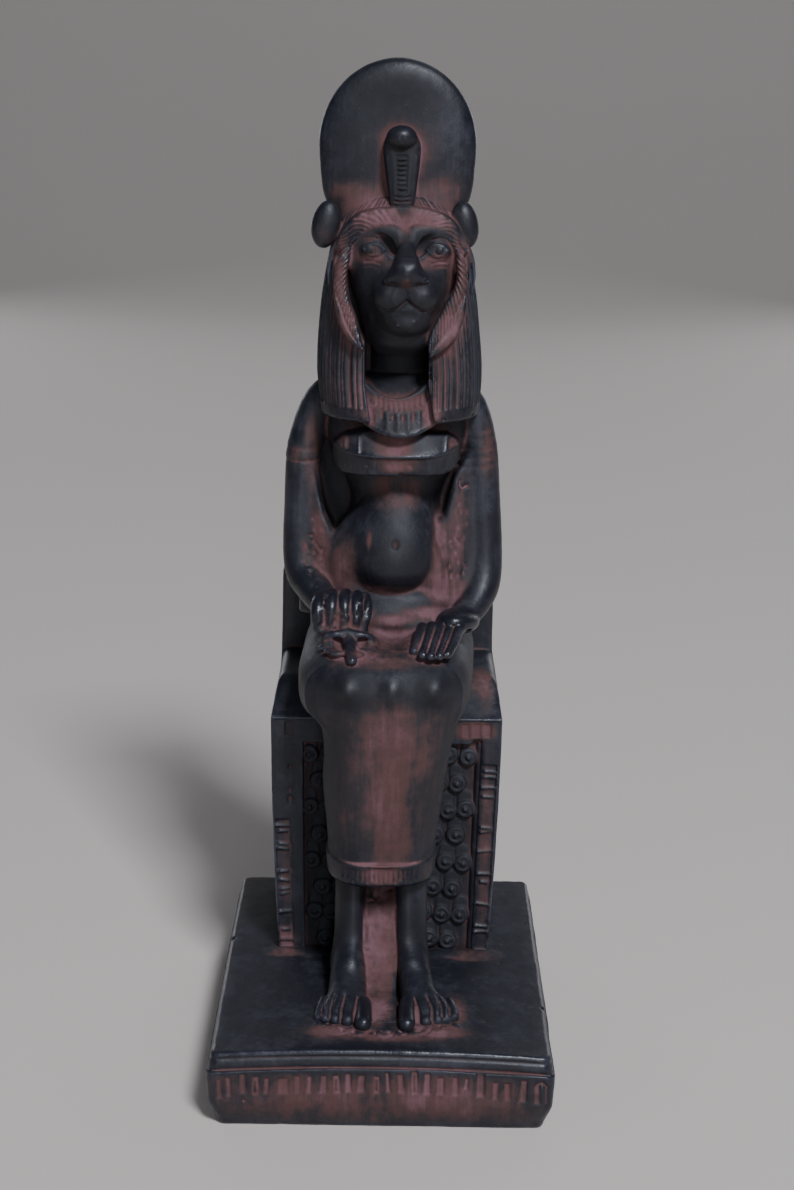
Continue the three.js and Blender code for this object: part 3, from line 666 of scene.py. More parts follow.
def make_skirt(clay):
    def knees(x, z):
        caps = 2.5 * bell((x + 9.6) / 3.5) + 2.5 * bell((x - 11.9) / 3.6) + 1.6 * bell((x - 1.2) / 2.9)
        shins = 0.8 * bell((x + 7.6) / 4.6) + 0.8 * bell((x - 8) / 4.6)
        return caps * bell((z - 79.6) / 4.2) + shins * bell((z - 50) / 24)

    sections = [
        [28.2, -0.8, -11.3, 12.6, 13.4, 2.5], [28.8, -0.8, -11.6, 13.1, 13.9, 2.5],
        [33.9, -0.8, -11.8, 13.5, 14.1, 2.5], [34.5, -0.8, -11.8, 13.1, 13.6, 2.5],
        [43, -0.6, -12.2, 13.8, 14, 2.5], [52, -0.4, -12.6, 14.8, 14.4, 2.5],
        [60, 0.3, -12.9, 15.3, 14.6, 2.5], [68, 0.6, -13.2, 16.6, 14.9, 2.5],
        [72.4, -0.1, -12.8, 18.4, 15.6, 2.5], [77.6, -0.3, -12.4, 19.3, 16, 2.4],
        [82, -0.2, -11.4, 18.4, 15, 2.3], [85.4, 0, -9, 14.6, 10.8, 2.2], [86.4, 0.2, -7, 9, 6, 2],
    ]
    clay.add(column(sections, knees))
    lap = [
        [-20, -0.8, 18.4, 66, 83.2, 2.7], [-14, -0.8, 20.2, 65, 85.4, 2.9],
        [-6, -0.4, 21.0, 64, 86.5, 3.1], [12, 0.4, 21.2, 62, 88.4, 3.1], [32, 0.8, 18, 62, 88, 2.4],
    ]
    clay.add(beam(lap), 2.4)
    clay.add(brick((-10.5, -6, -1), (9.5, 3, 80), 1))
    clay.cut(beam([[-17, 0.9, 4.2, 83.6, 96, 2], [-6, 1.4, 5.2, 85.8, 97, 2], [4, 1.6, 4, 88, 97, 2]]), 2.4)
    turns = np.radians(range(180, 361, 12))
    hem_line = [[13.1 * math.cos(a) - 0.8, -11.9 + 14.25 * math.sin(a), 34.1, 0.4] for a in turns]
    clay.add(limb(hem_line, 2), 0.3)
    for i, x in enumerate(np.arange(-9.6, 8.2, 1.14)):
        clay.trace([[x, z] for z in (32.9, 31.6, 30.3 - 0.3 * (i % 3))], 0.36, 0.34, 0.2)


# Toes of each foot: [root x, tip x, radius, tip y].
TOES = (
    (
        (-4.2, -4.3, 1.75, -45.2), (-7.2, -8.0, 1.42, -42.9), (-10.1, -10.9, 1.25, -42.0),
        (-12.3, -13.3, 1.12, -41.1), (-14.0, -15.0, 0.92, -40.1),
    ),
    (
        (5.9, 6.0, 1.8, -45.4), (9.1, 10.5, 1.28, -42.3), (12.0, 13.3, 1.22, -41.2),
        (14.2, 15.3, 1.14, -40.3), (16.1, 17.2, 1.1, -39.2),
    ),
)
# Upright sections of each foot, as beam takes them.
FEET = (
    [
        [-6, -8.6, 3.2, -5, 8, 2.2], [-14, -8.6, 3.8, -5, 12, 2.2], [-20, -8.5, 4.2, -5, 12, 2.2],
        [-25, -8.3, 4.6, -5, 9.6, 2.2], [-30, -8.35, 4.95, -5, 6.6, 2.2],
        [-34, -8.65, 5.8, -5, 5.0, 2.3], [-37, -8.9, 6.4, -5, 4.3, 2.5],
        [-39.4, -9.1, 6.3, -5, 3.3, 2.6], [-41, -7.8, 4.8, -5, 1.9, 2.6],
    ],
    [
        [-6, 7.4, 3.2, -5, 8, 2.2], [-14, 7.4, 3.8, -5, 12, 2.2], [-20, 7.6, 3.9, -5, 12, 2.2],
        [-25, 8.2, 4.1, -5, 9.6, 2.2], [-30, 8.95, 4.5, -5, 6.6, 2.2], [-34, 10.4, 5.9, -5, 5.0, 2.3],
        [-37, 10.9, 6.9, -5, 4.3, 2.5], [-39.4, 11.0, 6.7, -5, 3.3, 2.6],
        [-41, 9.2, 5.0, -5, 1.9, 2.6],
    ],
)


def make_legs(clay):
    fill = [
        [2, -1], [-41.6, -1], [-41.2, 0.9], [-36, 1.8], [-29, 3.2], [-23.6, 5.8], [-19.6, 10.5],
        [-17.2, 16], [-16, 20.6], [-12.5, 24], [-8, 30], [2, 30],
    ]
    clay.add(prism(fill, 0, -5.0, 3.4, 0.5))
    clay.cut(egg((-0.9, -17, 25.5), (4.4, 5.2, 5.4)), 0.8)
    for line, middle, ridge, thick in ((FEET[0], -8.2, -7.2, 3.75), (FEET[1], 6.8, 5.7, 3.9)):
        clay.add(beam(line), 0.4)
        leg = [
            [33, middle - 0.3, -13.2, thick, 4.6], [24, middle, -14.4, thick, 4.6],
            [14, middle, -15.6, thick, 4.8], [4, middle * 1.04, -17, thick + 0.9, 5.6],
        ]
        clay.add(column(leg), 0.5)
        shin = [
            [ridge, -17.6, 27, 1.1], [ridge, -18.6, 20, 1.15], [ridge, -19.7, 13, 1.3],
            [middle * 0.5 + ridge * 0.5, -24, 8, 1.8],
        ]
        clay.add(limb(shin), 3)
    for toes, outward in zip(TOES, (-1, 1)):
        for n, (root, tip, radius, reach) in enumerate(toes):
            start, joint = 0.55 * n - 34.6, reach + radius * 2.6
            toe = [
                [root, start, 2.7 - n * 0.1, radius * 0.9],
                [root * 0.6 + tip * 0.4, (start + joint) / 2, 2.5 - n * 0.1, radius * 1.05],
                [tip, joint, radius * 1.2, radius * 1.1],
                [tip, reach + radius * 1.1, radius * 0.98, radius * 1.14],
            ]
            clay.add(limb(toe), 0.5 if n else 1.3)
        for n, (a, b) in enumerate(zip(toes, toes[1:])):
            edge = a[2] / (a[2] + b[2])
            start, end = a[0] + (b[0] - a[0]) * edge, a[1] + (b[1] - a[1]) * edge
            line = []
            for t in np.linspace(0, 1, 7):
                x = start + (end - start) * min(1, 1.6 * t)
                y = (0.5 * n - 34.8) * (1 - t) + (b[3] + 0.4) * t
                line.append([x, y, clay.top(x, y, 6.0) - 0.1, 0.3 + 0.26 * min(1, 2 * t)])
            clay.cut(limb(line, 1), 0.3)
        _, tip, _, reach = toes[0]
        nail = [[tip + past, reach + 1.9, 2.9, 0.2] for past in (-0.6, 0.6)]
        clay.cut(limb(nail, 1), 0.3)
    clay.cut(limb([[7.9, -37, 4, 0.3], [8.3, -40, 2.6, 0.6], [8.4, -44, 1, 0.8]], 2), 0.3)
    for seam in (-4.6, 3.0):
        clay.cut(limb([[seam, -18.2, 25, 0.4], [seam, -18, 16, 0.6], [seam, -21, 9, 0.3]], 3), 0.3)
    # The fill's ragged front edge.
    random = np.random.default_rng(3)
    for x in np.arange(-4.6, 4.2, 0.9):
        clay.cut(egg((x, -41.7 + random.uniform(-0.2, 0.4), 0.9), (0.5, 0.7, 0.8)), 0.3)
    for _ in range(26):
        size = random.uniform(0.35, 0.7)
        clay.pock(random.uniform(-4.4, 3.2), random.uniform(3, 24), (size, 0.4, size))


def make_bust(clay):
    """The dress top: a panel above a ridge, and a band below it."""
    sheet = [
        [-13.8, 131.6], [-11, 134.2], [-7.7, 135.3], [-3, 135.5], [6, 135.2], [13.5, 134.6],
        [16.8, 131.9], [16.9, 128], [15.2, 126], [13.6, 125], [-11.8, 124.8], [-13.2, 126],
        [-14.0, 128],
    ]

    def ridge(x):
        return 129.7 + 2 * ((x - 1.5) / 15.3) ** 4

    def across(x):
        return 15.2 * (1 - np.clip(np.abs(x - 1.5) / 16.2, 0, 0.995) ** 2.7) ** 0.42 - 7.6

    def face(x, z):
        up = z - ridge(x)
        slope = np.where(up > 0, 0.5 * up, -0.22 * up)
        return -across(x) + slope + 0.5 * fade(up, 0.1, -0.5) - 0.25 * bell((up - 0.25) / 0.5)

    clay.add(plate(within(sheet), face, (-14.5, -9, 123.8), (17.5, 14, 135.6), 0.7), 0.2)
    for x in (-11.0, -7.6, 13.2):
        clay.trace([[x, ridge(x) + 0.5], [x + 0.1, 133.2 if x < -9 else 134.2]], 0.36, -0.28, 0.25)
        clay.trace([[x + 0.75, ridge(x) + 0.6], [x + 0.8, 133.6]], 0.25, 0.16, 0.15)
    for i, z in enumerate((132.2, 133.1, 133.9)):
        clay.trace([[14.2, z + 0.3], [16.1 - 0.7 * i, z - 0.3]], 0.24, 0.28, 0.12)
    for i, x in enumerate(np.arange(-11.6, 14, 1.15)):
        if not -2.4 < x < 6:
            clay.trace([[x, 128.6], [x + 0.1, 126.0 - 0.3 * (i % 3)]], 0.26, 0.14, 0.15)
    for x, z in ((-5.6, 127.6), (13.4, 125.6), (4.6, 127.6), (2.5, 125.4)):
        clay.trace([[x, z], [x + 0.3, z - 0.5]], 0.4, 0.3, 0.2)


def make_collar(clay):
    def edge(x, z):
        upper = z - 143.5 - 0.064 * (x - 0.9) ** 2
        lower = 134.6 + 0.04 * (x - 2) ** 2 - z
        return np.maximum(np.maximum(upper, lower), np.abs(x - 2) - 10.5)

    def face(x, z):
        rim = bell((z - 135.4 - 0.04 * (x - 2) ** 2) / 0.5)
        return -8.9 + 0.33 * (z - 135) + 0.028 * (x - 2) ** 2 - 0.25 * rim

    clay.add(plate(edge, face, (-8.5, -10, 134.4), (12.5, 11, 150), 0.6), 0.2)
    arc = [[x, 141.0 + 0.05 * (x - 1.6) ** 2] for x in np.arange(-4.6, 9.6, 1.4)]
    clay.trace(arc, 0.3, -0.16, 0.25)
    arc = [[x, 143.3 + 0.06 * (x - 1.2) ** 2] for x in np.arange(-3.4, 6.9, 1.4)]
    clay.trace(arc, 0.26, -0.12, 0.25)
    for x in np.arange(-3.4, 7.6, 1.2):
        z = 140.9 + 0.05 * (x - 1.6) ** 2
        clay.trace([[x, z], [x - 0.05, z + 1.9]], 0.36, 0.4, 0.15)
    for n, x in enumerate((-3.4, -0.9, 1.6, 4.0, 6.4)):
        z = 136.0 + 0.04 * (x - 2) ** 2
        clay.trace([[x + 0.1, z + 0.3], [x + 0.05, z + 2.0], [x, z + 3.6]], 0.85, -0.2, 0.3)
        for side in (-1, 1):
            clay.trace([[x + side * 1.22, z + 3.6], [x + side * 1.18, z + 2.8]], 0.36, 0.26, 0.2)
    for x, z in ((-0.9, 135.4), (3.6, 135.5)):
        clay.trace([[x, z], [x + 0.2, z]], 0.34, 0.3, 0.2)


def make_trunk(clay):
    trunk = [
        [76, 0.8, 15, 17.6, 15.6, 2.4], [92, 1, 15.2, 14.6, 13.6, 2.3],
        [100, 1.2, 14.8, 12.9, 12.2, 2.2], [108, 1.35, 14.4, 11.5, 11.4, 2.1],
        [116, 1.35, 13.6, 11.0, 10.8, 2.1], [121, 1.4, 13.2, 12.2, 11.6, 2.1],
        [126, 1.5, 12.8, 15.0, 12.6, 2.2], [135, 1.6, 12.8, 17.6, 12.6, 2.3],
        [141, 1.6, 12.8, 16.6, 10.4, 2.2], [145.5, 1.6, 12.8, 12.4, 8.4, 2.1],
        [148.5, 1.6, 12.4, 9.5, 7.0, 2],
    ]
    clay.add(column(trunk), 1)
    clay.add(egg((1, 3.4, 92.6), (13.6, 7.6, 5.2), (0, 4, 0)), 1.2)
    belly = [
        [95.2, 1.2, 2.2, 2.4, 3.0], [96.4, 1.1, 2.2, 5.4, 5.8], [98.4, 1.0, 2.4, 8.0, 8.6],
        [101.6, 1.0, 2.9, 9.7, 10.4], [105, 1.0, 3.4, 10.3, 10.9], [109, 1.0, 4.0, 10.2, 10.3],
        [113, 1.2, 4.6, 9.0, 8.9], [117, 1.5, 5.2, 6.8, 7.4], [121, 1.75, 5.6, 4.4, 5.8],
        [125, 1.75, 5.8, 2.6, 4.6],
    ]
    clay.add(column(belly), 3)
    clay.add(egg((1.6, -1.0, 88.6), (13.4, 5.8, 3.6), (0, 4, 0)), 2.2)
    clay.add(egg((-7.6, 6.4, 102.6), (7.6, 7.0, 11), (0, 16, 0)), 3.5)
    clay.add(egg((9.6, 5.2, 100), (5.4, 6.0, 9.5), (0, -6, 0)), 1.6)
    clay.cut(egg((0.05, -6.8, 94.1), (3.7, 2.6, 0.9), (0, -3, 0)), 0.9)
    clay.pock(1.5, 108.6, (0.8, 0.7, 1.2), 0.7)
    neck = [[132, 1.6, 9, 9.4, 10], [144, 1.6, 11, 8, 8], [158, 1.8, 10.5, 8, 8.2]]
    clay.add(column(neck), 1)
    clay.add(column([[66, 0.5, 26.7, 9.5, 6.7, 8], [140, 1, 25.2, 8.4, 5.2, 8]]), 1)
    throat = [
        [139, 1.8, 6, 8.8, 11.2], [143.4, 1.6, 6, 8.6, 11], [145.4, 1.5, 7, 8.4, 9.8],
        [148, 1.4, 9, 8, 7],
    ]
    clay.add(column(throat), 0.6)
    make_bust(clay)
    make_collar(clay)


def make_arms(clay):
    left = [
        [-12.5, 12, 144.6, 2.8], [-17, 12, 140, 4.2], [-20, 11.5, 132, 4.4], [-21.3, 11, 126, 4.3],
        [-21.7, 10.4, 114, 4.3], [-21.7, 9.4, 104, 4.5], [-20.9, 7, 98, 4.5], [-18.2, 1.6, 95, 4.1],
        [-15, -4, 92.8, 3.7],
    ]
    right = [
        [15.5, 12, 144, 2.8], [19.2, 12, 138.6, 4.2], [21.6, 11.5, 129, 4.4], [22.6, 11, 118, 4.3],
        [23.3, 10.2, 107, 4.4], [23.3, 9, 99.6, 4.6], [22.7, 6.6, 95, 4.4], [20.6, 2.8, 91.2, 3.9],
        [17.6, -1.6, 88.9, 3.2],
    ]
    wall = [
        [76, 0.5, 20, 20.4, 8.4, 3], [118, 0.8, 17.6, 20.4, 5.2, 3], [134, 1, 16.6, 18.6, 5, 3],
        [142, 1.2, 16, 14, 4.4, 3],
    ]
    clay.add(column(wall), 0.8)
    for line in (left, right):
        clay.add(limb(line, 4), 0.8)
    # Plaster left between the arms and the trunk.
    webs = (
        [
            [-13.6, 107.8], [-15.9, 113], [-17.6, 120], [-19, 124], [-23, 124], [-22, 88], [-2, 88],
            [-2, 116], [-5.4, 117], [-9.4, 112.6], [-12, 108.8],
        ],
        [
            [13.1, 113], [13.9, 116], [15.6, 122.7], [18.4, 127.5], [23, 129], [24, 88], [4, 88],
            [4, 100], [9, 108], [12.2, 112.4],
        ],
    )
    for corners, side in zip(webs, (-1, 1)):

        def face(x, z, side=side):
            return 3.4 + 0.12 * (z - 105) + 0.05 * np.maximum(0, side * x - 13) ** 2

        low, high = np.min(corners, axis=0), np.max(corners, axis=0)
        clay.add(plate(within(corners), face, (low[0], 1, low[1]), (high[0], 16, high[1]), 1.6), 1.8)
    clay.trace([[18.2, 101.4], [18.5, 100.2], [18.4, 98.8]], 0.26, 0.4, 0.2)
    clay.trace([[17.0, 121.6], [16.9, 120.4], [17.8, 119.7], [18.9, 120.3]], 0.34, 0.6, 0.2, 2)
    random = np.random.default_rng(17)
    # Scratches: how many, where, how long across and up, the widest radius and the depth.
    for many, across, level, wide, tall, widest, depth in (
        (30, (-20.5, -15.8), (97, 112), 0.6, 0.8, 0.5, 0.25),
        (20, (14.4, 19), (98, 122), 0.4, 1, 0.45, 0.22),
    ):
        for _ in range(many):
            x, z = random.uniform(*across), random.uniform(*level)
            end = [x + random.uniform(-wide, wide), z + random.uniform(-tall, tall)]
            clay.trace([[x, z], end], random.uniform(0.25, widest), depth, 0.3)

    # Armlets: level grooves round each upper arm.
    def ring_cut(cx, z, depth, wide=0.3):
        def depth_at(x, y, zz):
            near = bell((zz - z) / wide)
            off = np.exp(-(((x - cx) / 5.5) ** 4)) * np.exp(-(((y - 11) / 7) ** 4))
            off = off * (0.7 + 0.3 * np.sin(1.3 * x + 2 * zz)) if cx > 0 else off
            return (depth * near * off).astype(np.float32)

        clay.carve((cx - 7, 3, z - 1.6), (cx + 7, 19, z + 1.6), depth_at)

    for z, depth, wide in ((125.6, 0.3, 0.3), (128.6, 0.22, 0.3), (127, -0.1, 0.7)):
        ring_cut(-21.2, z, depth, wide)
    for z, depth in ((122.4, 0.12), (124.8, 0.2), (126.9, 0.14), (129, 0.2), (131.4, 0.16), (133.4, 0.1)):
        ring_cut(20.4, z, depth, 0.4)


def make_hands(clay):
    # The fist that holds the looped cross.
    clay.add(egg((-11.6, -6.4, 92), (7.1, 6.2, 4.9), (0, 4, 4)), 0.8)
    clay.add(egg((-11.4, -11.8, 89.0), (6.8, 2.8, 2.0)), 0.6)
    for n, x in enumerate((-16.7, -13.45, -10.35, -7.6)):
        low = (0.9, 0.1, 0, 0.4)[n]
        finger = [
            [x + 0.2, -7.4, 96.4 - low, 1.4], [x, -10.4, 95.8 - low, 1.6],
            [x, -12.2, 94.0 - low, 1.65], [x, -12.5, 91.6, 1.6], [x + 0.1, -12.2, 90.2, 1.5],
        ]
        clay.add(limb(finger), 0.5)
    thumb = [[-5.6, -5, 95, 1.3], [-5.0, -9.2, 94.2, 1.3], [-5.2, -11.6, 91.6, 1.2], [-5.8, -12, 89.8, 1.0]]
    clay.add(limb(thumb), 0.25)
    for gap in (-15.05, -11.9, -8.9, -6.3):
        parting = [
            [gap, -11.6, 96.2, 0.25], [gap, -13.6, 94.4, 0.5], [gap + 0.1, -13.9, 92.2, 0.6],
            [gap, -13.7, 90.2, 0.45],
        ]
        clay.cut(limb(parting, 2), 0.25)
    ragged = (
        (-17.2, 90.3), (-15.4, 89.6), (-13.8, 89.9), (-12.3, 89.3),
        (-10.6, 89.7), (-9.2, 89.2), (-7.6, 89.8), (-6, 89.5),
    )
    under = [[x, -14.1, z, 0.42 + 0.12 * (i % 2)] for i, (x, z) in enumerate(ragged)]
    clay.cut(limb(under, 2), 0.2)
    clay.add(egg((-9.4, -12.6, 85.6), (7.4, 5.4, 3.0)), 1.2)
    shaft = [
        [-9.4, -12.6, 88.2, 1.9], [-9.2, -15.6, 87.3, 1.6], [-8.9, -18.6, 86.6, 1.35],
        [-8.5, -21.4, 85.8, 1.3], [-8.2, -24, 84.7, 1.2],
    ]
    clay.add(limb(shaft, 3, (1, 1, 0.9)), 0.6)
    for middle, end, hole in ((-12.4, -15.0, -11.7), (-6.4, -3.9, -5.9)):
        bow = [
            [-9.4, -14.6, 88.4, 1.3], [middle, -15.2, 88.5, 0.95], [end, -14.6, 87.6, 0.85],
            [end + 0.2, -15, 86.4, 0.7],
        ]
        clay.add(limb(bow), 0.5)
        clay.cut(egg((hole, -16.6, 86.8), (1.35, 3.2, 0.95), (20, 14 if hole < -9 else -14, 0)), 0.25)
    random = np.random.default_rng(29)
    for _ in range(30):
        x, z = random.uniform(-17.8, -4), random.uniform(88, 96.5)
        size = random.uniform(0.35, 0.8)
        clay.pock(x, z, (size, random.uniform(0.25, 0.45), size * random.uniform(0.5, 1.1)))
    for _ in range(18):
        x, z = random.uniform(-17, -4.4), random.uniform(86.6, 95.5)
        clay.add(egg((x, clay.front(x, z) + 0.35, z), random.uniform(0.35, 0.75, 3)), 0.5)
    for x, y in ((-15, -16), (-13.4, -18.6), (-6, -18.4), (-4.2, -16.4), (-11.6, -20.4), (-7, -21)):
        clay.add(egg((x, y, 85.4), (1.7, 1.2, 0.7)), 0.9)
    # The flat hand.
    clay.add(egg((17.0, -4.0, 89.2), (5.0, 8.0, 3.2), (-12, 0, -16)), 0.8)
    clay.add(egg((13.6, -9.6, 88.6), (5.2, 3.0, 2.0)), 0.6)
    digits = []
    for n in range(5):
        top, tip, short = 8.2 + 2.28 * n, 6.3 + 1.95 * n, (3.6, 0.8, 0, 0.4, 1.6)[n]
        root = [top, -9.6, 89.0 + 0.3 * (n > 0), 1.3]
        middle = [top * 0.6 + tip * 0.4, -15, 87.8, 1.3]
        digits.append([root, middle, [tip, -23.2 + short, 85.9, 1.1]])
    for digit in digits:
        clay.add(limb(digit), 0.3)
    for a, b in zip(digits, digits[1:]):
        between = []
        for p, q, rise, radius in zip(a, b, (0.5, 0, -0.3), (0.12, 0.4, 0.4)):
            level = (p[2] + q[2]) / 2 + 1.0 + rise
            between.append([(p[0] + q[0]) / 2, (p[1] + q[1]) / 2, level, radius])
        clay.cut(limb(between), 0.2)
    for x, z in ((-16.8, 87.4), (19.2, 87.6)):
        clay.pock(x, z, (1.1, 1.6, 0.8), 0.6)


def make_body():
    clay = Clay((-29.5, -47.5, -3), (30.5, 36.5, 160), 0.4 * COARSE)
    make_skirt(clay)
    make_legs(clay)
    make_trunk(clay)
    make_arms(clay)
    make_hands(clay)
    return clay


# The head.
MID = 3.0
RING = (1.9, 171.0)


def polar(x, z, up):
    """Distance from the mane's middle, and the angle round it from straight down, or up where up is -1."""
    return np.hypot(x - RING[0], z - RING[1]), np.degrees(np.arctan2(x - RING[0], (RING[1] - z) * up))


def band(keys, up, back, dent):
    """A flat lock of hair round the face: keys are [angle, inner radius, outer radius, front y]."""
    keys = np.array(sorted(keys), float)
    start, end, wide = keys[0, 0], keys[-1, 0], keys[:, 2].max()

    def shape(x, y, z):
        r, angle = polar(x, z, up)
        inner, outer, front = keyed(keys, angle).T.reshape(3, *r.shape)
        side = np.maximum(inner - r, r - outer)
        side = np.maximum(side, np.maximum(start - angle, angle - end) * r / DEGREES)
        share = np.clip((r - inner) / (outer - inner), 0, 1)
        face = front + dent(np.abs(angle), r, r - inner, share)
        return np.maximum(-smooth_min(-side, -(face - y), 0.7), y - back).astype(np.float32)

    low = (RING[0] - wide, keys[:, 3].min(), RING[1] - wide)
    return [(shape, low, (RING[0] + wide, back, RING[1] + wide))]


def strand(phase, depth):
    """Rounded strands with narrow grooves between them, one for each whole step of phase."""
    return depth * (1 - np.abs(np.sin(np.pi * phase))) ** 1.25


def make_wig(clay):
    sections = np.array(
        [
            [138.0, 2, 10.2, 18.5, 18.6, 2.5], [138.8, 2, 10.2, 19.3, 19.4, 2.5],
            [141.2, 2, 10.2, 19.4, 19.2, 2.5], [148, 1.8, 9.8, 19.8, 17.7, 2.5],
            [162, 1.5, 9.2, 18.9, 15.3, 2.4], [176, 1.4, 9, 16.7, 14.1, 2.2],
            [184.6, 1.4, 9.4, 14.4, 12.4, 2.1], [189.4, 1.3, 10, 9.4, 8, 2],
        ]
    )
    base = column(sections)[0]

    def fluted(x, y, z):
        cx, cy, rx, ry, power = (c[None, None, :] for c in keyed(sections, z).T)
        u, v = (x - cx) / rx, (y - cy) / ry
        turn = np.arctan2(np.sign(v) * np.abs(v) ** (power / 2), np.sign(u) * np.abs(u) ** (power / 2))
        uneven = 1 + 0.42 * np.sin(9 * turn + 0.7) * np.sin(23 * turn)
        flat = 1 - 0.5 * bell((np.abs(x - 1.9) - 13.6) / 2.6) * (v < 0)
        phase = 13.2 * turn + 0.35 * np.sin(11 * turn + 1) + 0.2 * np.sin(31 * turn)
        groove = strand(phase, 0.75 * uneven * flat)
        return base[0](x, y, z) + (groove * fade(z, 140.9, 141.7)).astype(np.float32)

    clay.add([(fluted, base[1], base[2])])

    def keyhole(x, y, z):
        mid = 1.1 + (147 - z) * 0.175
        slot = np.maximum(np.abs(x - np.clip(mid, 1.1, 2.7)) - 7.5, np.maximum(z - 158, 130 - z))
        r = np.sqrt(((x - 1.9) / 14.6) ** 2 + ((z - 170.6) / 15.4) ** 2)
        return np.maximum(smooth_min(slot, (r - 1) * 15, 1.5), y - 6.5)

    clay.cut([(keyhole, (-14, -14, 128), (18, 6.5, 188))], 0.4)
    chips = (
        (8.6, 150.6, 0.7), (9.0, 148.8, 0.6), (-12.5, 138.6, 0.5),
        (-7.2, 138.7, 0.4), (12.4, 139, 0.4), (19.4, 138.8, 0.6),
    )
    for x, z, size in chips:
        clay.cut(egg((x, clay.front(x, z + 0.4), z), (size, 0.8, size)), 0.3)


def make_mane(clay):
    left = [
        [-128, 13.6, 15.0, -2.6], [-118, 13.3, 15.2, -3.9], [-109, 12.7, 15.5, -5.2],
        [-95, 12.6, 15.5, -5.5], [-81, 12.6, 15.9, -5.8], [-67, 12.9, 16.5, -6.6],
        [-52, 13.5, 17.6, -7.4], [-39, 15.1, 18.2, -8.3], [-30, 17.3, 18.15, -8.8],
        [-27.6, 17.9, 18.1, -8.8],
    ]
    right = [
        [128, 14.2, 15.1, -2.6], [118, 14.0, 15.2, -3.9], [109, 13.3, 15.4, -5.2],
        [95, 12.9, 15.3, -5.5], [80, 12.3, 15.5, -5.8], [64, 11.6, 16.7, -6.6], [47, 12.1, 18.0, -7.4],
        [32, 13.5, 18.6, -8.4], [24, 15.9, 18.8, -8.9], [21.4, 18.1, 18.75, -9],
    ]

    def ruff(angle, r, past, share):
        edge = 0.62 + 0.34 * fade(angle, 62, 88)
        groove = strand((angle * 0.262 + 1.4 * past) / 1.42, 0.5) * fade(share, edge + 0.04, edge - 0.06)
        crown = 0.5 * (2 * share - 1) ** 2
        return crown + groove + 0.3 * bell((share - edge) / 0.07) * fade(angle, 92, 74)

    fringe = [
        [-66, 13.8, 16.9, -3.4], [-47, 13.9, 18.0, -4.5], [-36, 14.1, 18.1, -5.0],
        [-24, 13.1, 17.4, -5.5], [-9, 12.2, 16.7, -5.8], [2, 11.9, 16.8, -5.9], [14, 12.3, 16.9, -5.7],
        [29, 13.5, 17.6, -5.3], [40, 14.1, 18.0, -4.9], [55, 14.1, 17.3, -4.1], [68, 13.9, 16.7, -3.2],
    ]

    def parted(angle, r, past, share):
        slant = 0.35 + 2.2 * (np.minimum(angle, 50) / 50) ** 1.5
        sway = 0.25 * np.sin(angle * 0.3 + 1)
        groove = strand((angle * r / DEGREES - slant * past) / 1.36 + sway, 0.42 + 0.1 * np.sin(angle * 0.7))
        return 0.5 * past + groove * (1 - 0.85 * bell(angle / 5)) * fade(share, 1.0, 0.8)

    clay.add(band(fringe, -1, 7, parted), 0.3)
    # Long locks that run down outside the fringe and the ruffs, beside the wig.
    for side in (-1, 1):
        for k, radius in enumerate((15.9, 17.0)):
            line = []
            for angle in range(82, 146, 8):
                a = math.radians(angle)
                x, z = RING[0] + side * radius * math.sin(a), RING[1] - radius * math.cos(a)
                line.append([x, 0.1 + 0.7 * k, z, 0.2 + 0.4 * min(1, (angle - 82) / 24)])
            clay.add(limb(line, 2), 0.3)
    for keys in (left, right):
        clay.add(band(keys, 1, 3, ruff), 0.15)


def make_eye(face, side, middle, iris):
    """An eye in its socket, with the deep hollow between the brow and the inner corner."""
    face.cut(egg((middle, -8.4, 178.3), (4.2, 3.2, 2.9), (0, 0, side * 12)), 1.2)
    face.add(egg((middle, -3.9, 177.7), (3.0, 2.3, 2.0), (0, 0, side * 12)), 1.0)
    inner, outer = middle - side * 2.4, middle + side * 2.1
    hollow = [
        [MID + side * 8.0, -6.0, 181.2, 0.5], [MID + side * 6.2, -6.2, 180.9, 1.0],
        [MID + side * 4.5, -6.0, 179.7, 1.5], [MID + side * 3.3, -6.0, 178.1, 1.3],
        [MID + side * 2.8, -6.8, 176.8, 0.5],
    ]
    face.cut(limb(hollow), 0.35)
    for peak, radius, depth in ((179.2, 0.5, -0.36), (176.7, 0.36, -0.2)):
        arc = []
        for t in np.linspace(0, 1, 7):
            rise = 1 - (2 * t - 1) ** 2
            arc.append([inner + (outer - inner) * t, 178.0 + (peak - 178.0) * rise**0.8])
        face.trace(arc, radius, depth, 0.2, 2)
    for level, radius, depth in ((180.7, 0.22, 0.16), (175.3, 0.26, 0.2), (174.2, 0.24, 0.14)):
        fold = [[middle + side * past, level - fall] for past, fall in ((-1.6, 0.5), (0.4, 0), (2.2, 0.3))]
        face.trace(fold, radius, depth, 0.2, 2)
    y = face.front(iris, 178.1)
    face.add(egg((iris, y + 0.4, 178.0), (0.95, 0.6, 0.95)), 0.2)
    face.cut(hoop((iris, y + 0.05, 178.0), 1.08, 0.16), 0.15)


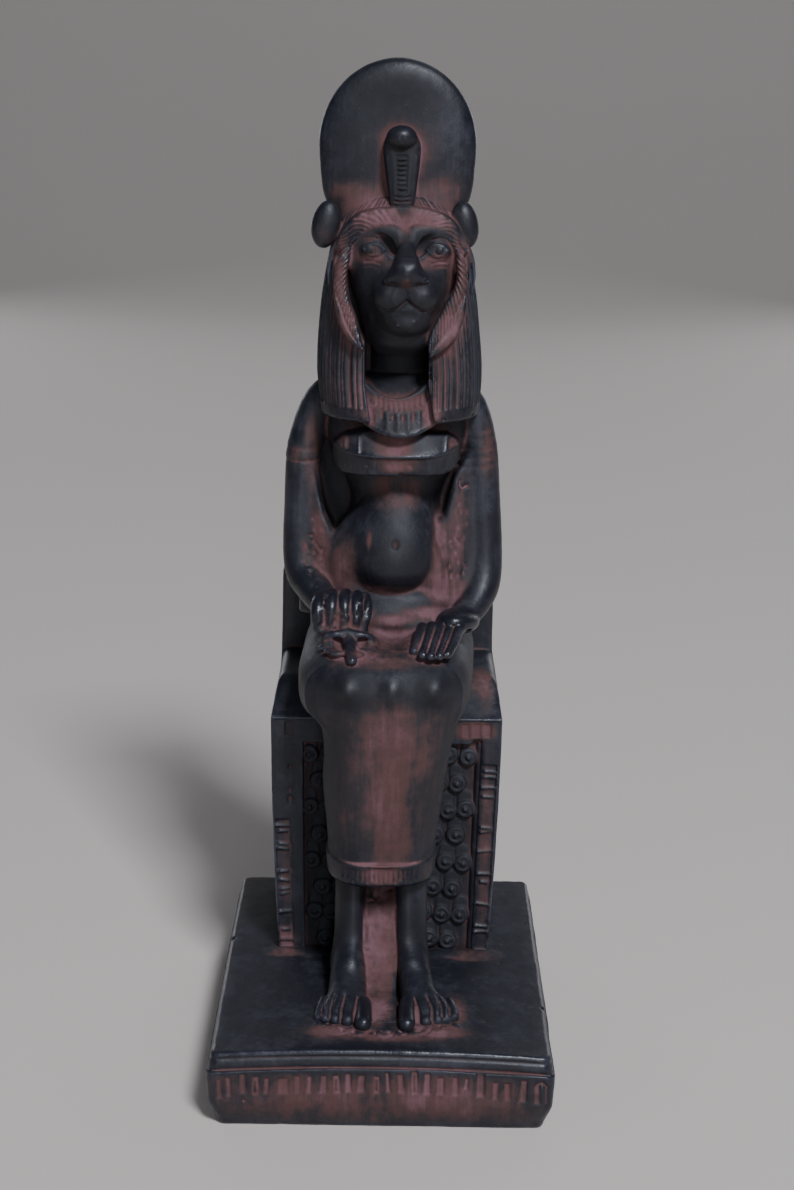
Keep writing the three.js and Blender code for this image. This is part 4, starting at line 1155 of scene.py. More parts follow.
def make_face(clay):
    mask = [
        [153.2, 1.6, 2, 5.4, 4.4, 2.2], [156, 1.5, 1.8, 7.2, 7.2, 2.3],
        [159.5, 1.6, 2.6, 8.6, 9.2, 2.3], [164, 1.9, 3.2, 10.2, 9.8, 2.3],
        [170, 2.2, 3.4, 12.3, 10.2, 2.3], [176, 2.3, 3.4, 12.8, 10.4, 2.3],
        [180, 2.4, 3.6, 12.1, 10.4, 2.3], [182.4, 2.4, 4.2, 11.3, 10.2, 2.3],
        [183.8, 2.4, 5.4, 9.6, 9.6, 2.2], [185.4, 2.4, 6, 6, 7, 2.1],
    ]
    face = Clay((-14, -18.5, 150), (20, 14, 187), clay.step)
    face.add(column(mask))
    brows = (
        ((1.7, 180.2), (0.9, 181.6), (-2, 182.3), (-5, 181.9), (-7.4, 180.2), (-9.0, 177.6), (-9.4, 174.6)),
        ((4, 180.2), (4.7, 181.8), (7.3, 182.3), (10.3, 181.7), (12.6, 179.8), (13.9, 177.2), (14.2, 174.6)),
    )
    for line in brows:
        face.trace(line, 1.9, -0.75, 1.1, 2)
    for side, middle, iris in ((-1, -4.6, -5.5), (1, 10.2, 10.6)):
        make_eye(face, side, middle, iris)
    muzzle = [
        [-2, MID, 8.8, 161.0, 175.6, 2.3], [-7, MID, 7.6, 162.0, 174.6, 2.3],
        [-10.5, MID, 6.1, 162.8, 173.2, 2.3], [-12.8, MID, 4.2, 163.8, 171.8, 2.2],
        [-13.6, MID, 2.6, 165, 171, 2.2],
    ]
    jaw = [
        [-2, MID - 0.3, 7.2, 156.6, 168, 2.2], [-7, MID - 0.1, 6.0, 158.0, 168, 2.2],
        [-10.5, MID, 4.9, 159.8, 168, 2.2], [-12.6, MID + 0.1, 3.2, 161.6, 167.4, 2.1],
    ]
    face.add(beam(muzzle), 1.6)
    face.add(beam(jaw), 1.4)
    for side in (-1, 1):
        face.add(egg((MID + side * 3.2, -9.0, 168.1), (4.3, 4.9, 3.7), (0, side * 12, side * 8)), 1.3)
    face.add(egg((3.1, -8.2, 162.2), (4.2, 5.1, 3.6)), 1.0)
    face.add(egg((2.4, -2.6, 157.6), (6.6, 5.4, 3.6)), 1.2)
    bridge = [
        [-3.5, MID, 1.9, 170, 182.2, 2.6], [-6, MID, 2.0, 170, 181.3, 2.8],
        [-8, MID, 2.2, 170, 180.2, 3], [-10.5, MID, 2.5, 170, 178.7, 3.4],
        [-13, MID + 0.1, 2.8, 170, 177.1, 3.6], [-14.3, MID + 0.1, 2.8, 171, 176.4, 3.2],
        [-15.1, MID + 0.1, 2.2, 171.8, 175.8, 2.8], [-15.6, MID + 0.1, 1.4, 172.6, 175.0, 2.4],
        [-15.9, MID + 0.1, 0.5, 173.3, 174.3, 2.2],
    ]
    face.add(beam(bridge), 0.45)
    nose = []
    tips = (
        (177.2, 2.5, -13.4), (176.0, 2.9, -14.7), (174.8, 3.4, -15.3), (173.6, 4.2, -15.4),
        (172.5, 5.0, -15.1), (171.7, 5.4, -14.6), (171.1, 4.8, -13.8), (170.6, 3.2, -12.8),
    )
    for z, half, tip in tips:
        nose.append([z, MID + 0.1, (tip - 7.5) / 2, half, (-7.5 - tip) / 2, 2.5])
    face.add(column(nose), 0.3)
    for side in (-1, 1):
        comma = [
            [MID + side * 1.4, -14.9, 170.7, 0.45], [MID + side * 2.8, -14.9, 171.0, 0.7],
            [MID + side * 4.1, -14.2, 171.5, 0.6], [MID + side * 5.2, -12.6, 172.4, 0.35],
        ]
        face.cut(limb(comma), 0.25)
        furrow = [[MID + side * 6.4, -9.4, 174.4, 0.6], [MID + side * 6.5, -11.4, 171.2, 0.5]]
        face.cut(limb(furrow, 1), 0.8)
        x = MID + side * 1.9
        face.add(egg((x, face.front(x, 162) + 0.2, 162.0 + side * 0.4), (0.5, 0.45, 0.4)), 0.3)
    # The groove below the nose, then the mouth with its two turned-up ends.
    face.trace([[MID, 169.4], [MID + 0.1, 168.4], [MID + 0.3, 167.4]], 0.36, 0.3, 0.4, 2)
    face.trace([[3.1, 167.2], [2.3, 166.4], [1.2, 165.5], [-0.2, 164.9]], 0.45, 0.6, 0.3, 2)
    face.trace([[3.6, 167.2], [4.6, 166.3], [5.8, 165.5], [7.2, 164.9]], 0.45, 0.6, 0.3, 2)
    face.trace([[-0.2, 164.9], [-1.4, 164.7], [-2.8, 165.0]], 0.3, 0.26, 0.35, 2)
    face.trace([[7.2, 164.9], [8.3, 164.9], [9.2, 165.4]], 0.3, 0.26, 0.35, 2)
    clay.add([(lambda x, y, z: lookup(face, x, y, z), (-14, -18.5, 150), (20, 14, 187))], 0.3)
    for x, z, rx, rz in ((-15.9, 182.8, 3.4, 5.6), (16.5, 183.2, 3.2, 5.5)):
        turn = (0, 10 if x < 0 else -10, 0)
        clay.add(egg((x, 3.4, z), (rx, 2.9, rz), turn), 0.5)
        clay.cut(egg((x, -1.2, z - 2.4), (rx - 1.4, 1.6, 2.6), turn), 0.9)


def make_head():
    clay = Clay((-22.5, -18.5, 135), (25, 32, 192.5), 0.25 * COARSE**0.6)
    make_wig(clay)
    make_mane(clay)
    make_face(clay)
    return clay


# The disc.
def make_crown():
    clay = Clay((-20, -4, 178), (21.5, 16, 222.5), 0.3 * COARSE**0.6)
    half, tall, mid_x, mid_z = 18.45, 19.85, 0.6, 200.75

    def disc(x, y, z):
        u, v = (x - mid_x) / half, (z - mid_z) / tall
        power = 2.0 + 1.1 * fade(-v, 0, 0.65)
        across = (np.abs(u) ** power + np.abs(v) ** power) ** (1 / power)
        # The lens: front and back surfaces meet at a rounded rim.
        front = 3.6 + 3.7 * np.clip(across, 0, 1.3) ** 3.2 + 0.5 * across**2
        back = 12.2 - 1.6 * np.clip(across, 0, 1.3) ** 3
        faces = -smooth_min(-(front - y) * 0.95, -(y - back) * 0.95, 0.8)
        return -smooth_min(-faces, -(across - 1) * 18.8, 1.3)

    clay.add([(disc, (mid_x - half, 3, mid_z - tall), (mid_x + half, 12.6, mid_z + tall))])
    foot = [
        [180, 0.8, 7, 14, 6, 2.2], [186, 0.8, 7.2, 14.6, 5.0, 2.2], [190, 0.8, 7.6, 14.0, 4.2, 2.2],
        [193, 0.8, 8, 12, 3, 2.2],
    ]
    clay.add(column(foot), 1.4)
    hood = [
        [183, 1.9, 2.8, 2.7, 3.8, 2.6], [187.4, 1.9, 2.3, 2.85, 3.4, 2.6],
        [192, 1.8, 2.1, 3.4, 3.0, 2.6], [197, 1.7, 2.0, 4.1, 2.7, 2.6],
        [200.5, 1.6, 2.1, 4.35, 2.5, 2.5], [202.6, 1.55, 2.3, 3.9, 2.4, 2.4],
        [204.2, 1.5, 2.6, 2.7, 2.2, 2.3], [205.2, 1.5, 3.0, 1.4, 1.8, 2.2],
    ]
    clay.add(column(hood), 0.3)
    clay.cut(egg((1.6, -1.9, 200.0), (2.9, 1.5, 1.3)), 0.6)
    clay.add(egg((1.5, 0.9, 202.8), (3.6, 3.5, 2.9), (-14, 0, 0)), 0.4)
    clay.trace([[1.6, 203.4], [1.6, 201.8]], 0.25, 0.14, 0.2)
    for side in (-1, 1):
        ladder = [[1.5 + side * 1.1, 190.2], [1.6 + side * 1.15, 194.5], [1.6 + side * 1.2, 198.8]]
        clay.trace(ladder, 0.28, 0.26, 0.15, 2)
        border = [[1.9 + side * 2.2, 184], [1.8 + side * 2.6, 191], [1.6 + side * 3.4, 198.6]]
        clay.trace(border, 0.4, -0.16, 0.3, 2)
    for n in range(8):
        z = 190.9 + n * 1.12
        clay.trace([[0.6, z], [2.6, z + 0.05]], 0.26, 0.24, 0.12)
    for n in range(5):
        z = 185.4 + n * 1.05
        clay.trace([[-0.1, z], [1.8, z - 0.12], [3.7, z]], 0.3, 0.26, 0.12)
    return clay


# Patina, and painted shade.
# Soft spots where the rose-brown patina was left: [x, y, z, radius x, y, z, strength].
ROSE = [
    (0.6, 4, 187.0, 17, 8, 5.0, 0.8), (-9.5, 5, 189.6, 7, 6, 3.8, 0.6),
    (10.6, 5, 190.4, 7.5, 6, 4.4, 0.58), (1.6, 4, 199, 6.4, 6, 9.6, 0.55),
    (5.5, 5, 199, 4.4, 6, 8, 0.42), (2, -4, 185.6, 17, 5, 4.6, 0.95),
    (2.6, -8, 182.6, 1.9, 5, 4.2, 1.0), (-5.2, -6, 175.8, 4.4, 4, 1.9, 0.9),
    (10.6, -6, 175.6, 4.8, 4, 2.2, 0.95), (10.6, -7, 174.0, 3.0, 4, 1.6, 0.35),
    (-5.2, -8, 178.0, 2.6, 3, 1.6, 0.75), (10.4, -8, 178.0, 2.6, 3, 1.6, 0.75),
    (3.1, -15, 171.2, 1.7, 2.4, 2.4, 0.85), (3.2, -14.4, 166.6, 3.4, 1.6, 1.4, 0.8),
    (-13, -4, 172, 3.4, 6, 14, 0.8), (-10.6, -6, 161, 3.2, 5, 7, 0.9), (15.6, -4, 170, 3.0, 6, 14, 1.0),
    (13, -7, 160, 3.6, 5, 7.6, 1.0), (-16, -2, 180, 3, 6, 7, 0.7), (17.6, -2, 178, 2.6, 6, 8, 0.6),
    (-15, -5, 150, 1.6, 6, 14, 0.4), (-7, -6, 150, 2.4, 8, 14, 0.55), (10.4, -6, 149, 2.4, 8, 12, 0.55),
    (2.0, -7, 143.4, 9.5, 5, 3.2, 0.9), (-5.0, -7, 140, 2.2, 5, 6, 0.9), (9.4, -7, 140, 2.2, 5, 6, 0.9),
    (2.0, -8, 139, 5, 4, 3, 0.35), (0.8, -7.4, 132.4, 4.2, 4, 3.4, 0.95),
    (1.9, -8, 127.4, 4.4, 3, 1.9, 1.0), (-11.8, -3, 132.6, 2.6, 5, 3, 0.7),
    (15.4, -3, 132.6, 2.0, 5, 2.4, 0.7), (1.5, 2, 138.5, 17, 6, 3.4, 0.7),
    (1.75, -1, 120, 6.4, 7, 5.0, 0.8), (12.4, 3, 106, 2.4, 9, 11, 0.75),
    (16.4, 4, 112, 2.8, 8, 17, 0.72), (13.6, 1, 96.5, 5, 7, 5.4, 1.0), (9, -2, 90.6, 7, 5, 2.2, 0.9),
    (1.0, -5, 89.6, 6, 4, 1.5, 0.9), (-11.2, -1, 101, 3.2, 9, 9, 0.7),
    (-16.6, 4, 108, 2.6, 7, 11, 0.95), (-18.2, 6, 124, 2.0, 6, 11, 0.8),
    (1.5, -8, 108.6, 0.9, 4, 1.3, 1.0), (-4.8, -6, 109.2, 0.7, 4, 2.6, 0.85),
    (0.6, -6, 96.8, 10, 6, 1.6, 0.55), (1.5, -12, 86.6, 15, 9, 1.8, 0.5),
    (-8.6, -21, 85, 8, 4, 1.6, 0.9), (13, -22.6, 84.6, 7, 2.4, 1.4, 0.8),
    (-5, -23, 84, 14, 3.0, 2, 0.6), (-11.6, -13, 92.4, 6.4, 2, 3.2, 0.55),
    (0.6, -27, 66, 8.5, 8, 12, 0.46), (0.2, -27, 50, 6.0, 8, 18, 0.54), (6, -26, 62, 7, 8, 9, 0.3),
    (-7, -26, 60, 5, 8, 12, 0.26), (1.4, -27, 40, 6, 8, 9, 0.45), (-2, -27, 70, 7, 8, 5, 0.45),
    (11, -25, 70, 7, 8, 6, 0.42), (-9, -25, 71, 5, 8, 3.6, 0.34), (4, -27, 73, 5, 8, 2.6, 0.4),
    (-9, -24, 50, 4, 8, 16, 0.22), (10, -24, 52, 4, 8, 16, 0.22), (-0.7, -22, 12, 4.9, 22, 15, 1.0),
    (-0.8, -26.3, 34.35, 11.5, 4, 0.5, 1.5), (-0.6, -26, 31.4, 5.4, 3.6, 3, 0.85),
    (-12.4, -24, 31.4, 2.2, 5, 3, 0.4), (11, -24, 31.4, 2.2, 5, 3, 0.5),
    (-9.4, -44.6, 0, 8.0, 3.0, 1.6, 1.0), (12, -44, 0, 8.6, 3.6, 1.6, 1.0),
    (1, -47, 0, 15, 2.6, 1.2, 0.8), (-5.7, -39.5, 1.6, 0.8, 5, 2, 0.9),
    (8.4, -39.5, 1.6, 0.9, 5, 2, 1.0), (17.6, -33, 0, 3, 9, 1.6, 0.75),
    (25.2, 0, 26, 2.0, 1.8, 26, 0.55), (-25.2, 0, 20, 1.8, 1.6, 20, 0.25), (-25, 0, 3, 3.4, 2, 4, 0.8),
    (22, -0.5, 59.6, 6, 2, 2.6, 0.75), (23, -2.5, 0, 6.6, 3, 1.5, 0.75),
    (-24.6, -2, 0, 4.4, 2.6, 1.6, 0.9), (24.6, 7, 72, 3, 9, 8, 0.85), (24, 9, 84, 3, 8, 6, 0.5),
    (0, -55.2, -8.4, 62, 1.8, 3.4, 0.36), (0, -56, -13, 62, 4, 9, 0.2),
    (-0.7, -36, 1.6, 4.2, 7, 2.6, 0.9), (23.6, 11, 128, 2.6, 7, 8, 0.6), (-22, 9, 127, 4, 8, 3, 0.55),
    (-19.2, 6, 128, 2.2, 6, 9, 0.7), (-20.8, 6, 104, 1.2, 8, 4, 0.5),
    (18.3, 0.6, 182.6, 2, 3, 3.4, 0.35),
]
# Soft spots with a thin, dusky film of it: the same columns.
FILM = [
    (15, -7, 146, 7, 6, 14, 0.6), (-12, -7, 146, 7, 6, 14, 0.5), (0, -56, -13, 60, 4, 9, 0.9),
    (0, -27, 58, 17, 14, 26, 0.55), (0, -10, 87, 22, 20, 4, 0.6), (0, -50, 0, 44, 12, 3, 0.22),
    (0, -56, -12, 60, 4, 10, 0.95), (0, 0, 40, 32, 4, 34, 0.35), (0, 4, 138, 24, 10, 9, 0.5),
    (1.6, -8, 128, 17, 5, 9, 0.35), (1, 5, 205, 22, 9, 18, 0.25), (3, -8, 160, 10, 9, 9, 0.25),
    (0, 10, 78, 30, 20, 10, 0.4), (1.7, 0, 104, 14, 10, 12, 0.25), (2, -6, 160, 22, 12, 30, 0.2),
]
# Soft spots that stay dark: bare black, and painted shade in the deep hollows; the same columns.
DARK_AND_SHADE = [
    (-5.5, -8, 178.0, 1.3, 3, 1.25, 1.0), (10.6, -8, 178.0, 1.3, 3, 1.25, 1.0),
    (-1.0, -6, 179.6, 2.6, 4, 2.6, 0.95), (7.2, -6, 179.6, 2.6, 4, 2.6, 0.95),
    (-12, 2, 30, 9.5, 4, 34, 0.9), (16.4, 2, 28, 6.4, 3, 32, 0.7), (3, -12, 176.4, 3.9, 5, 3.6, 1.0),
    (3, -8, 180.2, 1.8, 3.4, 2.4, 0.9), (-3.2, -7.6, 182.2, 4.6, 3, 1.1, 0.9),
    (8.6, -7.6, 182.2, 4.8, 3, 1.1, 0.9), (3, -12, 168, 8.4, 5, 3.4, 0.95), (3, -11, 162, 7, 6, 5, 0.9),
    (0.6, 2, 214.5, 22, 9, 7.4, 0.9), (1.6, -1, 196, 4.6, 2.6, 9.5, 1.0), (-12.5, 3, 203, 5, 5, 7, 0.6),
    (2.4, -5, 187.2, 2.0, 3, 1.8, 0.8), (-8.6, -27, 79, 6, 8, 5, 0.9), (11, -27, 79, 6.5, 8, 5, 0.9),
    (1, -27, 79, 4, 6, 3, 0.6), (1.75, -7, 110, 7.4, 3, 9, 0.6), (-8.8, -20, 14, 3.2, 3, 12, 0.7),
    (6.2, -20, 14, 2.6, 3, 12, 0.7), (-15.4, 3, 184, 3.2, 6, 5, 0.8), (17.2, 3, 184, 3, 6, 5, 0.8),
    (2, -8.6, 136.6, 6, 3, 1.6, 0.7), (-13, -9, 146, 3.0, 3, 9, 0.7), (17, -9, 146, 2.8, 3, 9, 0.7),
    (-14.8, -4, 160, 1.4, 3, 8, 0.6), (17.6, -5, 163, 1.2, 3, 7, 0.8), (2, -4, 151, 9.5, 8, 7, 1.0),
    (-14, 4, 121, 4.6, 9, 12, 1.0), (12.6, 3, 121.6, 3.2, 8, 7, 0.95),
    (8.6, -6, 169, 4.4, 5, 5.5, 0.85), (-3.4, -6, 169, 4.6, 5, 6, 0.9),
    (1.4, -5, 121.4, 9, 5, 2.6, 0.8),
]


def spots(points, rows):
    """The strongest soft spot at each point."""
    made = np.zeros(len(points), np.float32)
    for x, y, z, rx, ry, rz, strength in rows:
        away = (((points - (x, y, z)) / (rx, ry, rz)) ** 2).sum(axis=1)
        made = np.maximum(made, strength * np.exp(-(away**1.4)))
    return made


# Meshes.
# A loose bit with fewer faces is dropped. The unevenness of every surface: [share, spacing, seed].
FEWEST = 300
LUMPS = ((1.3, 7.0, 11), (0.5, 1.9, 12))


def make_mesh(name, points, quads):
    mesh = bpy.data.meshes.new(name)
    mesh.vertices.add(len(points))
    mesh.vertices.foreach_set("co", points.astype(np.float32).ravel())
    mesh.loops.add(quads.size)
    mesh.loops.foreach_set("vertex_index", quads.astype(np.int32).ravel())
    mesh.polygons.add(len(quads))
    mesh.polygons.foreach_set("loop_start", np.arange(0, quads.size, 4, dtype=np.int32))
    mesh.update(calc_edges=True)
    mesh.validate()
    return mesh


def drop_crumbs(mesh):
    """Removes loose bits of a few faces."""
    made = bmesh.new()
    made.from_mesh(mesh)
    left = set(made.faces)
    crumbs = []
    while left:
        island = [left.pop()]
        for face in island:
            for edge in face.edges:
                for other in edge.link_faces:
                    if other in left:
                        left.remove(other)
                        island.append(other)
        if len(island) < FEWEST:
            crumbs += island
    bmesh.ops.delete(made, geom=crumbs, context="FACES")
    made.to_mesh(mesh)
    made.free()


def set_attribute(mesh, name, values):
    layer = mesh.attributes.new(name, "FLOAT", "POINT")
    layer.data.foreach_set("value", values.astype(np.float32))


def make_piece(name, clay, target, rough):
    clay.d += rough * sum(share * lumps(clay, spacing, seed) for share, spacing, seed in LUMPS)
    foot = (np.arange(clay.count[2]) + clay.first[2]) * clay.step
    clay.d = np.maximum(clay.d, (-PLINTH - foot)[None, None, :].astype(np.float32))
    # The outermost samples lie outside, so that the skin has no open edge.
    for axis in range(3):
        for end in (0, -1):
            side = [slice(None)] * 3
            side[axis] = end
            clay.d[tuple(side)] = np.maximum(clay.d[tuple(side)], 0.5 * clay.step)
    points, quads = skin(clay)
    mesh = make_mesh(name, points, quads)
    piece = bpy.data.objects.new(name, mesh)
    bpy.context.scene.collection.objects.link(piece)
    thin = piece.modifiers.new("thin", "DECIMATE")
    thin.ratio = min(1.0, target / (2 * len(quads)))
    depsgraph = bpy.context.evaluated_depsgraph_get()
    reduced = bpy.data.meshes.new_from_object(piece.evaluated_get(depsgraph))
    piece.modifiers.clear()
    piece.data = reduced
    bpy.data.meshes.remove(mesh)
    drop_crumbs(reduced)
    reduced.name = name
    print(name, len(quads) * 2, "to", sum(len(p.vertices) - 2 for p in reduced.polygons))
    return piece


# Each piece of the one casting: what makes it, its triangles and how uneven its surface is.
PARTS = {
    "statue_plinth": (make_plinth, 70000, 0.09),
    "statue_throne": (make_throne, 150000, 0.06),
    "statue_body": (make_body, 170000, 0.06),
    "statue_head": (make_head, 190000, 0.03),
    "statue_crown": (make_crown, 60000, 0.05),
}
clays, pieces = {}, {}
for name, (maker, target, rough) in PARTS.items():
    clays[name] = maker()
    pieces[name] = make_piece(name, clays[name], target / COARSE**2, rough)

# The whole casting on one coarse grid, and how far round a point each measure looks for solid.
WHOLE_STEP = 0.8
HOLLOW_REACH, CREASE_REACH, GROOVE_REACH = 3.2, 1.4, 0.55
whole = Clay((-43, -58, -22), (43, 50, 223), WHOLE_STEP)
for clay in clays.values():
    place, *lines = whole.window(clay.first * clay.step, (clay.first + clay.count - 1) * clay.step, 0)
    spotted = np.stack([c.ravel() for c in np.broadcast_arrays(*lines)], axis=1)
    whole.d[place] = np.minimum(whole.d[place], clay.at(spotted).reshape(whole.d[place].shape))
hollow = fullness(whole, HOLLOW_REACH)
crease = fullness(whole, CREASE_REACH)

for name, piece in pieces.items():
    mesh = piece.data
    points = np.zeros(len(mesh.vertices) * 3, np.float32)
    mesh.vertices.foreach_get("co", points)
    points = points.reshape(-1, 3)
    groove = fullness(clays[name], GROOVE_REACH)
    for key, measure in (("groove", groove), ("crease", crease), ("hollow", hollow)):
        set_attribute(mesh, key, measure.at(points) * 2 - 1)
    for key, rows in (("rose", ROSE), ("film", FILM), ("dark_and_shade", DARK_AND_SHADE)):
        set_attribute(mesh, key, spots(points, rows))
    mesh.vertices.foreach_set("co", ((points + PLACE) * 0.001).astype(np.float32).ravel())
    mesh.polygons.foreach_set("use_smooth", np.ones(len(mesh.polygons), bool))
    mesh.update()


# Material.
BLACK = (0.0098, 0.0098, 0.0155)
DUSKY = (0.026, 0.019, 0.022)
BROWN = (0.075, 0.036, 0.037)
PINK = (0.15, 0.073, 0.086)
RUST = (0.082, 0.034, 0.029)
# Paler black for the edges' wear and painted highlight, and for cloudy patches.
PALE_WEAR_AND_GLINT = (0.046, 0.047, 0.068)
SHADE = (0.004, 0.0036, 0.0045)
# Painted shade for the broad hollows.
HOLLOW_SHADE = (0.006, 0.0045, 0.005)
GROOVE_DARK = (0.01, 0.008, 0.008)
DUST = (0.2, 0.19, 0.2)


class Term:
    """A node's output that takes plain arithmetic."""

    def __init__(self, nodes, socket):
        self.nodes = nodes
        self.socket = socket

    def __add__(self, other):
        return self.nodes.math("ADD", self, other)

    def __sub__(self, other):
        return self.nodes.math("SUBTRACT", self, other)

    def __rsub__(self, other):
        return self.nodes.math("SUBTRACT", other, self)

    def __mul__(self, other):
        return self.nodes.math("MULTIPLY", self, other)

    def above(self, least):
        return self.nodes.math("MAXIMUM", self, least)


class Nodes:
    """A short way to write a node tree."""

    def __init__(self, material):
        material.use_nodes = True
        self.tree = material.node_tree
        self.tree.nodes.clear()

    def add(self, kind, values, **settings):
        """A node with its settings, and its inputs set to numbers or colours or linked."""
        node = self.tree.nodes.new("ShaderNode" + kind)
        for key, value in settings.items():
            setattr(node, key, value)
        for key, value in values.items():
            if isinstance(value, Term):
                self.tree.links.new(value.socket, node.inputs[key])
            elif isinstance(value, tuple):
                node.inputs[key].default_value = (*value, 1)
            else:
                node.inputs[key].default_value = value
        return node

    def term(self, kind, values, output=0, **settings):
        return Term(self, self.add(kind, values, **settings).outputs[output])

    def math(self, operation, a, b, clamp=False):
        return self.term("Math", {0: a, 1: b}, operation=operation, use_clamp=clamp)

    def mix(self, share, a, b):
        return self.term("Mix", {0: share, 6: a, 7: b}, 2, data_type="RGBA")

    def noise(self, place, scale, detail=3.0, rough=0.55):
        values = {"Vector": place, "Scale": scale, "Detail": detail, "Roughness": rough}
        return self.term("TexNoise", values, "Fac")

    def ramp(self, value, low, high):
        values = {"Value": value, "From Min": low, "From Max": high}
        return self.term("MapRange", values, "Result", interpolation_type="SMOOTHSTEP")

    def attribute(self, name):
        return self.term("Attribute", {}, "Fac", attribute_name=name)


def make_cast_stone():
    material = bpy.data.materials.new("cast_stone")
    n = Nodes(material)
    place = n.term("TexCoord", {}, "Object")
    groove, crease, hollow = n.attribute("groove"), n.attribute("crease"), n.attribute("hollow")
    rose, film, dark_and_shade = n.attribute("rose"), n.attribute("film"), n.attribute("dark_and_shade")
    broad = n.noise(place, 110, 4)
    blotch = n.noise(place, 420, 5, 0.65)
    speck = n.noise(place, 1900)
    stretch = n.add("Mapping", {"Vector": place})
    stretch.inputs["Scale"].default_value = (1.0, 1.0, 0.09)
    upright = Term(n, stretch.outputs[0])
    streak = n.noise(upright, 900, 4, 0.6)
    # Where the patina sits: the painted spots and the grooves, broken up by noise, and rubbed off the edges.
    held = (groove * 2.6 + crease * 0.9).above(0.0) * 0.55
    rubbed = (groove * -1.0).above(0.0) * 1.5
    uneven = broad * 0.8 + (blotch * 0.5 + streak * 0.5) - 0.9
    painted = (rose * 0.95 + film * 0.45) * (1.0 - dark_and_shade * 0.75)
    open_noise = uneven * (painted * 1.4 + 0.45)
    held = held * (1.0 - dark_and_shade * 0.8)
    amount = n.math("SUBTRACT", painted + held + open_noise, rubbed, True)
    tint = n.add("ValToRGB", {0: amount})
    stops = tint.color_ramp.elements
    shades = ((0.1, BLACK), (0.34, DUSKY), (0.62, BROWN), (0.98, PINK))
    while len(stops) < len(shades):
        stops.new(0.5)
    for stop, (spot, shade) in zip(stops, shades):
        stop.position = spot
        stop.color = (*shade, 1)
    rust = n.ramp(n.noise(upright, 160), 0.42, 0.62) * n.ramp(amount, 0.2, 0.6) * 0.55
    colour = n.mix(rust, Term(n, tint.outputs[0]), RUST)
    # Paler bare black: along the edges as wear and a painted highlight, and in cloudy patches.
    edge_wear_and_glint = n.ramp(groove * -1.0, 0.12, 0.5)
    bare = 1.0 - n.ramp(amount, 0.15, 0.5)
    cloudy = (broad * 0.6 + blotch * 0.4) * 0.75 + streak * 0.25
    lift = (edge_wear_and_glint * 0.7 + n.ramp(cloudy, 0.46, 0.66) * 0.42) * bare * (1.0 - dark_and_shade * 0.7)
    colour = n.mix(lift, colour, PALE_WEAR_AND_GLINT)
    # Painted shade: the dark spots are pulled towards near black.
    colour = n.mix(dark_and_shade * 0.5, colour, SHADE)
    # Painted shade: darker in the broad hollows.
    colour = n.mix(n.ramp(hollow, 0.3, 0.8) * 0.75, colour, HOLLOW_SHADE)
    # Darker in the narrowest grooves, and in specks.
    colour = n.mix(n.ramp(groove + speck * 0.2, 0.5, 0.8) * 0.6, colour, GROOVE_DARK)
    colour = n.mix(n.ramp(speck, 0.64, 0.8) * 0.14, colour, DUST)
    # Rougher where the patina lies, smoother on what stands out.
    outward = n.ramp(hollow * -1.0, 0.05, 0.4)
    plain = blotch * 0.2 + outward * -0.25 + (dark_and_shade * 0.26 + 0.47)
    rough = n.math("ADD", amount * 0.35, plain, True)
    grain = {"Strength": 0.4, "Distance": 0.00025, "Height": speck * 0.5 + blotch}
    swell = {"Strength": 0.5, "Distance": 0.0004, "Height": broad, "Normal": n.term("Bump", grain)}
    shader = {"Base Color": colour, "Roughness": rough, "Specular IOR Level": 0.42}
    shader["Normal"] = n.term("Bump", swell)
    n.add("OutputMaterial", {0: n.term("BsdfPrincipled", shader)})
    return material


cast_stone = make_cast_stone()
for piece in pieces.values():
    piece.data.materials.clear()
    piece.data.materials.append(cast_stone)
    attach(piece, "root")
    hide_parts("statue")


# Stage, light and camera.
def make_floor():
    """A floor that rises behind the object in one sweep."""
    half_wide, bend, drop = 4.0, 1.4, 0.0002
    profile = [(-3.0, 0.0), (bend, 0.0)]
    for a in np.radians(range(6, 91, 6)):
        profile.append((bend + math.sin(a), 1.0 - math.cos(a)))
    profile.append((bend + 1.0, 4.0))
    corners = [(x, y, z - drop) for y, z in profile for x in (-half_wide, half_wide)]
    faces = [(2 * i, 2 * i + 1, 2 * i + 3, 2 * i + 2) for i in range(len(profile) - 1)]
    mesh = bpy.data.meshes.new("floor")
    mesh.from_pydata(corners, [], faces)
    mesh.polygons.foreach_set("use_smooth", [True] * len(faces))
    floor = bpy.data.objects.new("floor", mesh)
    bpy.context.scene.collection.objects.link(floor)
    material = bpy.data.materials.new("floor")
    n = Nodes(material)
    shader = {"Base Color": (0.6, 0.55, 0.5), "Roughness": 0.85}
    n.add("OutputMaterial", {0: n.term("BsdfPrincipled", shader)})
    mesh.materials.append(material)


AIM = np.array((0, 0, 0.12))


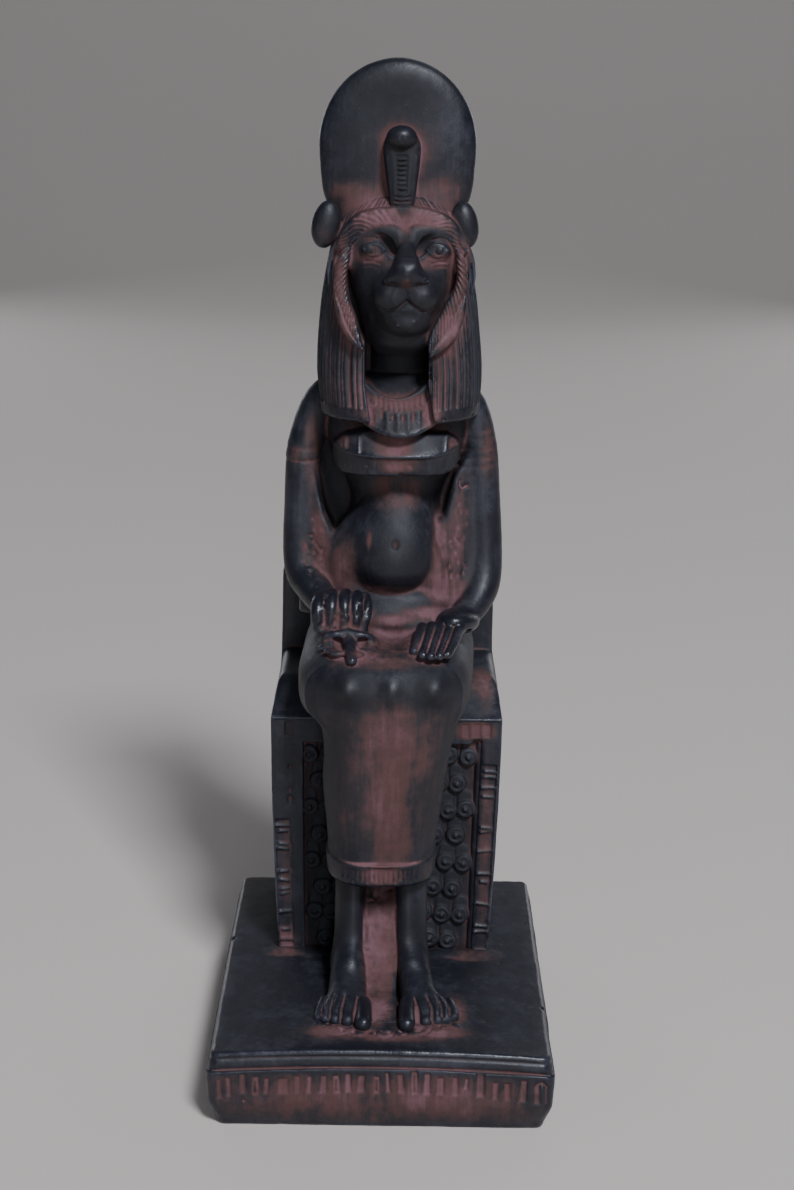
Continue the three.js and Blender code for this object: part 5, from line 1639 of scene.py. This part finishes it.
def make_light(name, place, size, power):
    """A cool soft light that faces the middle of the object."""
    lamp = bpy.data.lights.new(name, "AREA")
    lamp.shape = "RECTANGLE"
    lamp.size, lamp.size_y = size
    lamp.energy = power
    lamp.color = (0.88, 0.92, 1.0)
    light = bpy.data.objects.new(name, lamp)
    light.location = place
    light.rotation_euler = Vector(AIM - np.array(place)).to_track_quat("-Z", "Y").to_euler()
    bpy.context.scene.collection.objects.link(light)


make_floor()
make_light("key", (0.52, -1.25, 1.55), (0.36, 0.36), 44)
make_light("front", (0.12, -1.6, 0.4), (0.22, 0.9), 5.5)
make_light("fill", (-0.9, -0.9, 0.7), (0.9, 0.9), 0.8)
make_light("rim", (0.2, 0.9, 1.1), (0.8, 0.5), 1)
for side in (-1, 1):
    make_light("back", (side * 0.7, 1.25, 0.4), (0.6, 0.6), 2)

world = bpy.data.worlds.new("world")
bpy.context.scene.world = world
world.use_nodes = True
background = world.node_tree.nodes["Background"]
background.inputs[0].default_value = (0.74, 0.82, 1.0, 1)
background.inputs[1].default_value = 0.09

# The focal length and the photograph's height in pixels, and the sensor's side.
FOCAL, PHOTO_HEIGHT, SENSOR = 2000.0, 1190.0, 36


def make_camera():
    """The camera that fits the photograph's view of the plinth and the disc."""
    place = np.array([0.001736, -0.46540, 0.24289])
    yaw, pitch, roll = 0.00073, 0.26837, 0.01616
    level = math.cos(pitch)
    forward = np.array([math.sin(yaw) * level, math.cos(yaw) * level, -math.sin(pitch)])
    right = np.array([math.cos(yaw), -math.sin(yaw), 0])
    up = np.cross(right, forward)
    cos, sin = math.cos(roll), math.sin(roll)
    right, up = right * cos + up * sin, up * cos - right * sin
    data = bpy.data.cameras.new("camera")
    data.sensor_fit = "AUTO"
    data.sensor_width = SENSOR
    data.lens = FOCAL / PHOTO_HEIGHT * SENSOR
    data.clip_start, data.clip_end = 0.01, 20
    camera = bpy.data.objects.new("camera", data)
    rows = [[right[i], up[i], -forward[i], place[i]] for i in range(3)]
    camera.matrix_world = Matrix(rows + [[0, 0, 0, 1]])
    bpy.context.scene.collection.objects.link(camera)
    bpy.context.scene.camera = camera


make_camera()
